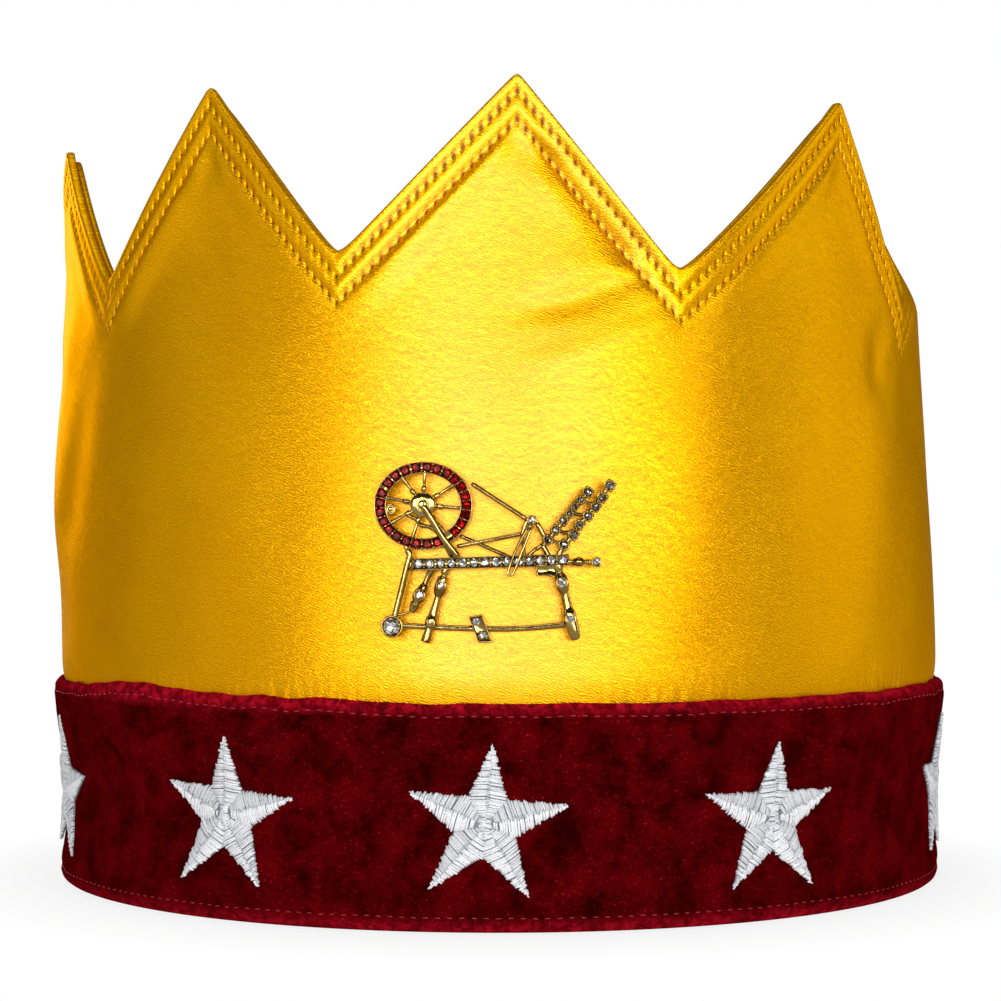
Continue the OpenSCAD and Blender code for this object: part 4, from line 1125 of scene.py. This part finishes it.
def barAlong(ends, section, pieces):
    # the section carried along a straight bar, closed at both ends
    start, end = np.array(ends[0], float), np.array(ends[1], float)
    ahead = (end - start) / np.linalg.norm(end - start)
    side = np.array([-ahead[1], ahead[0], 0])
    s = np.linspace(0, 1, pieces)[:, None, None]
    points = start + (end - start) * s + side * section[None, :, :1] + np.array([0, 0, 1]) * section[None, :, 1:]
    return points.reshape(-1, 3), tubeFaces(pieces, len(section))[0]


def platePart(corners, low, high):
    # a flat plate with a raised lip: rings of the outline, drawn in towards its middle
    outline = np.array(corners, float)
    middle = outline.mean(0)
    far = np.linalg.norm(outline - middle, axis=1, keepdims=True)
    rings = [(0.1, low), (0.0, low + 0.1), (0.0, high + 0.02), (0.05, high + 0.12), (0.16, high + 0.16),
             (0.28, high + 0.12), (0.34, high - 0.1), (0.4, high - 0.16)]
    points = np.stack([
        np.concatenate([middle + (outline - middle) * (1 - inset / far), np.full((len(outline), 1), z)], 1)
        for inset, z in rings])
    return points.reshape(-1, 3), tubeFaces(len(rings), len(outline), flip=True)[0]


def beads(places, radius):
    # small domes of few faces, so that hundreds stay light: four rings of six points
    places = np.array(places, float)
    t = fullTurn(6)
    rise = np.radians([-30, 10, 45, 78])[:, None]
    dome = np.stack([np.cos(rise) * np.cos(t), np.cos(rise) * np.sin(t), np.sin(rise) * np.ones(6)], -1).reshape(-1, 3)
    points = places[:, None] + dome[None] * radius
    faces = tubeFaces(len(rise), len(t), flip=True)[0]
    return points.reshape(-1, 3), [manyQuads(f, len(dome), len(places)) for f in faces]


def joined(parts):
    # one point list and one face list from many parts
    points, faces, start = [], [], 0
    for partPoints, partFaces in parts:
        points.append(partPoints)
        faces += [f + start for f in partFaces]
        start += len(partPoints)
    return np.concatenate(points), faces


def withSize(flat, height, width):
    # stones of one height and width at these places of the plane
    return np.concatenate([flat, np.tile([height, width], (len(flat), 1))], 1)


def rimStonePlaces():
    # angles of the runs of evenly spaced stones, and their places on an oval
    runs = [first + step * np.arange(count) for first, step, count in brooch["rimRuns"]]
    angles = np.radians(np.concatenate(runs))
    (cx, cy), (a, b) = brooch["wheelAt"], brooch["rimStones"]
    flat = np.stack([cx + a * np.cos(angles), cy + b * np.sin(angles)], -1)
    return angles, withSize(flat, brooch["rimHeight"], brooch["redStone"])


def tableStonePlaces():
    # evenly along the table
    flat = np.linspace(*brooch["tableLine"], brooch["tableCount"])
    return withSize(flat, brooch["tableHeight"], brooch["tableStone"])


def prongPlaces(stones, over, lift, turn, number):
    # evenly round each stone, just outside its edge
    stones = np.array(stones)
    t = turn + fullTurn(number)
    reach = stones[:, 3] / 2 + over
    return np.stack([stones[:, :1] + reach[:, None] * np.cos(t), stones[:, 1:2] + reach[:, None] * np.sin(t),
                     np.broadcast_to(stones[:, 2:3] + lift, (len(stones), number))], -1).reshape(-1, 3)


def cupRows(width, low, high):
    # a bezel: wall, rounded lip and the seat inside it, as (radius, height)
    r = width / 2
    return [(r + 0.12, low), (r + 0.28, low + 0.12), (r + 0.2, low + (high - low) * 0.5), (r + 0.34, high - 0.14),
            (r + 0.31, high + 0.06), (r + 0.18, high + 0.15), (r + 0.04, high + 0.06), (r + 0.02, high - 0.25),
            (r * 0.5, high - 0.7)]


# round parts, as rows of (radius, height): the hub with its dish and the axle, the treadle's bearing and the
# hinge boss of the pin
hubRows = [(2.1, 0.4), (2.35, 0.55), (2.35, 1.2), (2.28, 1.4), (2.1, 1.52), (1.8, 1.6), (1.4, 1.68), (1.05, 1.72),
           (0.95, 1.66), (0.85, 1.8), (0.85, 3.1), (0.75, 3.26), (0.5, 3.32)]
bearingRows = [(2.0, 0.3), (2.12, 0.45), (2.12, 2.1), (2.08, 2.45), (1.95, 2.6), (1.8, 2.55), (1.68, 2.35),
               (1.62, 1.9), (1.2, 1.5)]
bossRows = [(1.0, 0.3), (1.05, 0.4), (1.05, 0.85), (0.98, 1.0), (0.85, 1.05), (0.7, 0.95), (0.55, 0.8), (0.4, 1.0),
            (0.2, 1.1)]
# a spoke, as rows of (share of its length, radius)
spokeRows = [(0, 0.3), (0.17, 0.28), (0.22, 0.42), (0.27, 0.5), (0.36, 0.5), (0.42, 0.36), (0.46, 0.27), (0.62, 0.33),
             (0.85, 0.36), (1, 0.36)]


def spokePart(angle):
    # from the hub's dish to a little way into the oval rim
    c, s = math.cos(angle), math.sin(angle)
    fromHub = 1.4
    toRim = 1 / math.hypot(c / brooch["rimIn"][0], s / brooch["rimIn"][1]) + 0.35
    (x, y), z = brooch["hubAt"], brooch["spokeHeight"]
    start, end = ((x + reach * c, y + reach * s, z) for reach in (fromHub, toRim))
    return turnedPart(start, end, [(share * (toRim - fromHub), radius) for share, radius in spokeRows], 10)


def rimBeadPlaces(angles):
    # two beads after each of the rim's stones, and before the first stone of each run
    (cx, cy), (a, b) = brooch["wheelAt"], brooch["rimStones"]
    runStarts = np.cumsum([0] + [count for _, _, count in brooch["rimRuns"]])[:-1]
    halfStep = math.radians(7.2)
    gaps = np.concatenate([angles + halfStep, angles[runStarts] - halfStep])
    return [(cx + (a + off) * math.cos(t), cy + (b + off) * math.sin(t), 1.82) for t in gaps for off in (-0.66, 0.66)]


def tableBeadPlaces():
    # two beads in each gap between the table's stones and at both ends
    table = tableStonePlaces()[:, :2]
    halfStep = (table[1] - table[0]) / 2
    gaps = np.concatenate([table + halfStep, table[:1] - halfStep])
    return [(x, y + off, 2.05) for x, y in gaps for off in (-0.6, 0.6)]


def buildBroochMetal():
    b = brooch
    parts = [ovalBand(b["wheelAt"], b["rimOut"], b["rimIn"], rimSection, 96), lathe(b["hubAt"], hubRows, 32)]
    parts += [spokePart(angle) for angle in np.radians(b["spokes"])]
    parts.append(barAlong(b["tableEnds"], tableSection, 30))
    parts += [turnedPart(start, end, rows, 20) for start, end, rows in turnedPieces]
    for route, radius in wires:
        path = alongRoute(route, 0.45)
        # the ends are drawn in a little
        atEnd = np.abs(np.linspace(-1, 1, len(path))) > 0.995
        parts.append(sweep(path, radius * np.where(atEnd, 0.7, 1.0), b["around"] if radius > 0.3 else 8))
    for x0, y0, x1, y1, radius in flaxStems:
        parts.append(sweep(alongRoute([(x0, y0, 0.85), (x1, y1, 0.9)], 0.6), radius, 8))
    parts += [platePart(*plate) for plate in plates]
    # bezels round the stones
    parts += [lathe((x, y), cupRows(width + 0.15, 0.5, z), 20) for x, y, z, width in flaxLeft + flaxRight]
    parts.append(lathe(b["bearingAt"], bearingRows, 40))
    for name, low in (("post_stone", 0.5), ("handle_stone", 0.6)):
        x, y, z, width = singleStones[name]
        parts.append(lathe((x, y), cupRows(width, low, z), 20))
    parts.append(lathe(b["bossAt"], bossRows, 24))
    for name, (x, y, z, width) in singleStones.items():
        if "leg_stone" in name:
            parts.append(lathe((x, y), cupRows(width - 0.1, z - 0.9, z - 0.02), 20))
    # beads that hold the stones
    singles = [place for name, place in singleStones.items() if name != "treadle_bearing_stone"]
    parts.append(beads(rimBeadPlaces(rimStonePlaces()[0]), 0.26))
    parts.append(beads(tableBeadPlaces(), 0.3))
    parts.append(beads(prongPlaces(flaxLeft + flaxRight, 0.22, 0.08, math.radians(10), 4), 0.38))
    parts.append(beads(prongPlaces(singles, 0.06, 0.06, math.radians(45), 4), 0.2))
    points, faces = joined(parts)
    addPiece("brooch_metal", onBrooch(points), faces, goldMaterial, ["brooch_frame"])


def cutStones(stones):
    # brilliant cut, as shares of each stone's width: table, star and kite facets, girdle and a pavilion
    # of sixteen facets; all stones share one pattern of faces
    k8, k16 = np.arange(8), np.arange(16)
    rings = []
    # points, turn in degrees, radius and height of each ring
    for number, turn, radius, height in ((8, 22.5, 0.29, 0.17), (8, 0, 0.41, 0.1), (16, 0, 0.5, 0.0),
                                         (16, 0, 0.5, -0.04), (1, 0, 0, -0.42)):
        t = np.radians(turn + np.arange(number) * 360 / number)
        rings.append(np.stack([radius * np.cos(t), radius * np.sin(t), np.full(number, height)], -1))
    shape = np.concatenate(rings)
    top, mid, girdle, low, culet = 0, 8, 16, 32, 48
    faces = [
        (top + k8)[None],
        np.stack([top + k8, top + (k8 - 1) % 8, mid + k8], -1),
        np.stack([top + k8, mid + k8, girdle + (2 * k8 + 1) % 16, mid + (k8 + 1) % 8], -1),
        np.stack([mid + k8, girdle + 2 * k8, girdle + (2 * k8 + 1) % 16], -1),
        np.stack([mid + k8, girdle + (2 * k8 - 1) % 16, girdle + 2 * k8], -1),
        np.stack([girdle + k16, low + k16, low + (k16 + 1) % 16, girdle + (k16 + 1) % 16], -1),
        np.stack([low + k16, np.full(16, culet), low + (k16 + 1) % 16], -1)]
    stones = np.array(stones, float)
    turns = np.random.default_rng(3).uniform(0, 0.8, len(stones))
    c, s = np.cos(turns)[:, None], np.sin(turns)[:, None]
    x, y, z = shape[:, 0][None], shape[:, 1][None], shape[:, 2][None]
    turned = np.stack([x * c - y * s, x * s + y * c, z + 0 * c], -1)
    points = stones[:, None, :3] + turned * stones[:, None, 3:]
    return points.reshape(-1, 3), [manyQuads(f, len(shape), len(stones)) for f in faces]


def buildStones():
    # name, places and the CAD node that each piece replaces
    fields = [("red_stones", rimStonePlaces()[1], "wheel_stones"),
              ("clear_table_stones", tableStonePlaces(), "table_stones"),
              ("clear_flax_left", flaxLeft, "flax_stones_left"), ("clear_flax_right", flaxRight, "flax_stones_right")]
    fields += [("clear_" + name, [place], name) for name, place in singleStones.items()]
    for name, places, replaced in fields:
        red = name == "red_stones"
        glass = redGlassMaterial if red else smokyGlassMaterial if "flax" in name else clearGlassMaterial
        points, faces = cutStones(places)
        addPiece(name, onBrooch(points), faces, glass, [replaced], flat=True)


buildBroochMetal()
buildStones()
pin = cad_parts["brooch_pin"]
pin.data.materials.clear()
pin.data.materials.append(pinMaterial)
print("brooch ready")


# Floor, light and camera; metres

softboxes = {
    "keyLeft": {"at": (-0.53, -1.66, 0.07), "size": (1.02, 0.95), "power": 24.9},
    "keyRight": {"at": (0.75, -1.58, 0.07), "size": (1.22, 0.95), "power": 27.2},
    "sideLeft": {"at": (-1.52, -0.55, 0.25), "size": (0.7, 0.9), "power": 1.8},
    "top": {"at": (0.0, -0.35, 1.6), "size": (0.8, 0.8), "power": 5.0},
    "left": {"at": (-0.86, 1.26, 0.42), "size": (0.6, 0.6), "power": 4.6},
    "right": {"at": (1.45, 0.15, 0.2), "size": (0.9, 0.9), "power": 3.0},
}
studio = {
    # brightness of the room by direction: y is -1 behind the camera and 1 behind the crown
    "room": [(-1.0, 0.1), (-0.86, 0.04), (-0.4, 0.05), (0.0, 0.14), (1.0, 0.18)],
    "floorRadius": 3, "floorColor": (0.9, 0.9, 0.9, 1),
    "shadowFrom": 0.09, "shadowFade": 5.0, "shadowGlow": 0.82,      # the floor glows less close to the crown
    "lens": 99.69, "sensor": 36.0, "eye": (0.00033, -0.615, 0.0812),
}


def buildFloor():
    # a pale disc; where the camera sees it, it is nearly as white as the paper backdrop
    t = fullTurn(64)
    radius = studio["floorRadius"]
    rim = np.stack([radius * np.cos(t), radius * np.sin(t), np.full(64, -0.0003)], -1)
    mesh = bpy.data.meshes.new("floor")
    mesh.from_pydata(rim.tolist(), [], [list(range(64))])
    material, tree, shader = newMaterial("paleFloor", {"Base Color": studio["floorColor"], "Roughness": 0.8})
    glow = addNode(tree, "ShaderNodeEmission", {"Strength": 1.0, "Color": (1, 1, 1, 1)})
    seen = Value(addNode(tree, "ShaderNodeLightPath").outputs["Is Camera Ray"])
    away = Value(addNode(tree, "ShaderNodeVectorMath", {0: objectPlace(tree)}, operation="LENGTH").outputs["Value"])
    clean = (((away - studio["shadowFrom"]) * studio["shadowFade"]).held() + studio["shadowGlow"]).held()
    mix = addNode(tree, "ShaderNodeMixShader", {0: seen * clean, 1: shader.outputs[0], 2: glow.outputs[0]})
    feed(tree.nodes["Material Output"], {0: mix.outputs[0]})
    mesh.materials.append(material)
    floor = bpy.data.objects.new("floor", mesh)
    bpy.context.scene.collection.objects.link(floor)


def buildWorld():
    # white paper to the camera, a dimmer room to everything else, darker low down and behind
    world = bpy.data.worlds.new("studio")
    bpy.context.scene.world = world
    world.use_nodes = True
    tree = world.node_tree
    seen = Value(addNode(tree, "ShaderNodeLightPath").outputs["Is Camera Ray"])
    depth = splitVector(tree, addNode(tree, "ShaderNodeTexCoord").outputs["Generated"])[1]
    ramp = addNode(tree, "ShaderNodeValToRGB", {0: (depth + 1.0) * 0.5})
    stops = ramp.color_ramp.elements
    for k, (y, light) in enumerate(studio["room"]):
        stop = stops[k] if k < 2 else stops.new((y + 1) / 2)
        stop.position = (y + 1) / 2
        stop.color = (light, light, light, 1)
    color = blendColors(seen, ramp.outputs[0], (1, 1, 1))
    feed(tree.nodes["Background"], {"Color": color, "Strength": 1.0})


def addSoftbox(name, look):
    # a lamp as large as a softbox, turned to the crown's foot
    light = bpy.data.lights.new(name, "AREA")
    light.shape = "RECTANGLE"
    light.size, light.size_y = look["size"]
    light.energy = look["power"]
    lamp = bpy.data.objects.new(name, light)
    lamp.location = look["at"]
    lamp.rotation_euler = (-lamp.location).to_track_quat("-Z", "Y").to_euler()
    bpy.context.scene.collection.objects.link(lamp)


def buildCamera():
    camera = bpy.data.cameras.new("camera")
    camera.lens = studio["lens"]
    camera.sensor_width = studio["sensor"]
    camera.clip_start = 0.01
    eye = bpy.data.objects.new("camera", camera)
    eye.location = studio["eye"]
    eye.rotation_euler = (math.radians(90), 0, 0)
    bpy.context.scene.collection.objects.link(eye)
    bpy.context.scene.camera = eye


buildFloor()
buildWorld()
for softboxName, softboxLook in softboxes.items():
    addSoftbox(softboxName, softboxLook)
buildCamera()
bpy.context.scene.view_settings.view_transform = "Standard"
print("studio ready")

bpy.context.view_layer.update()
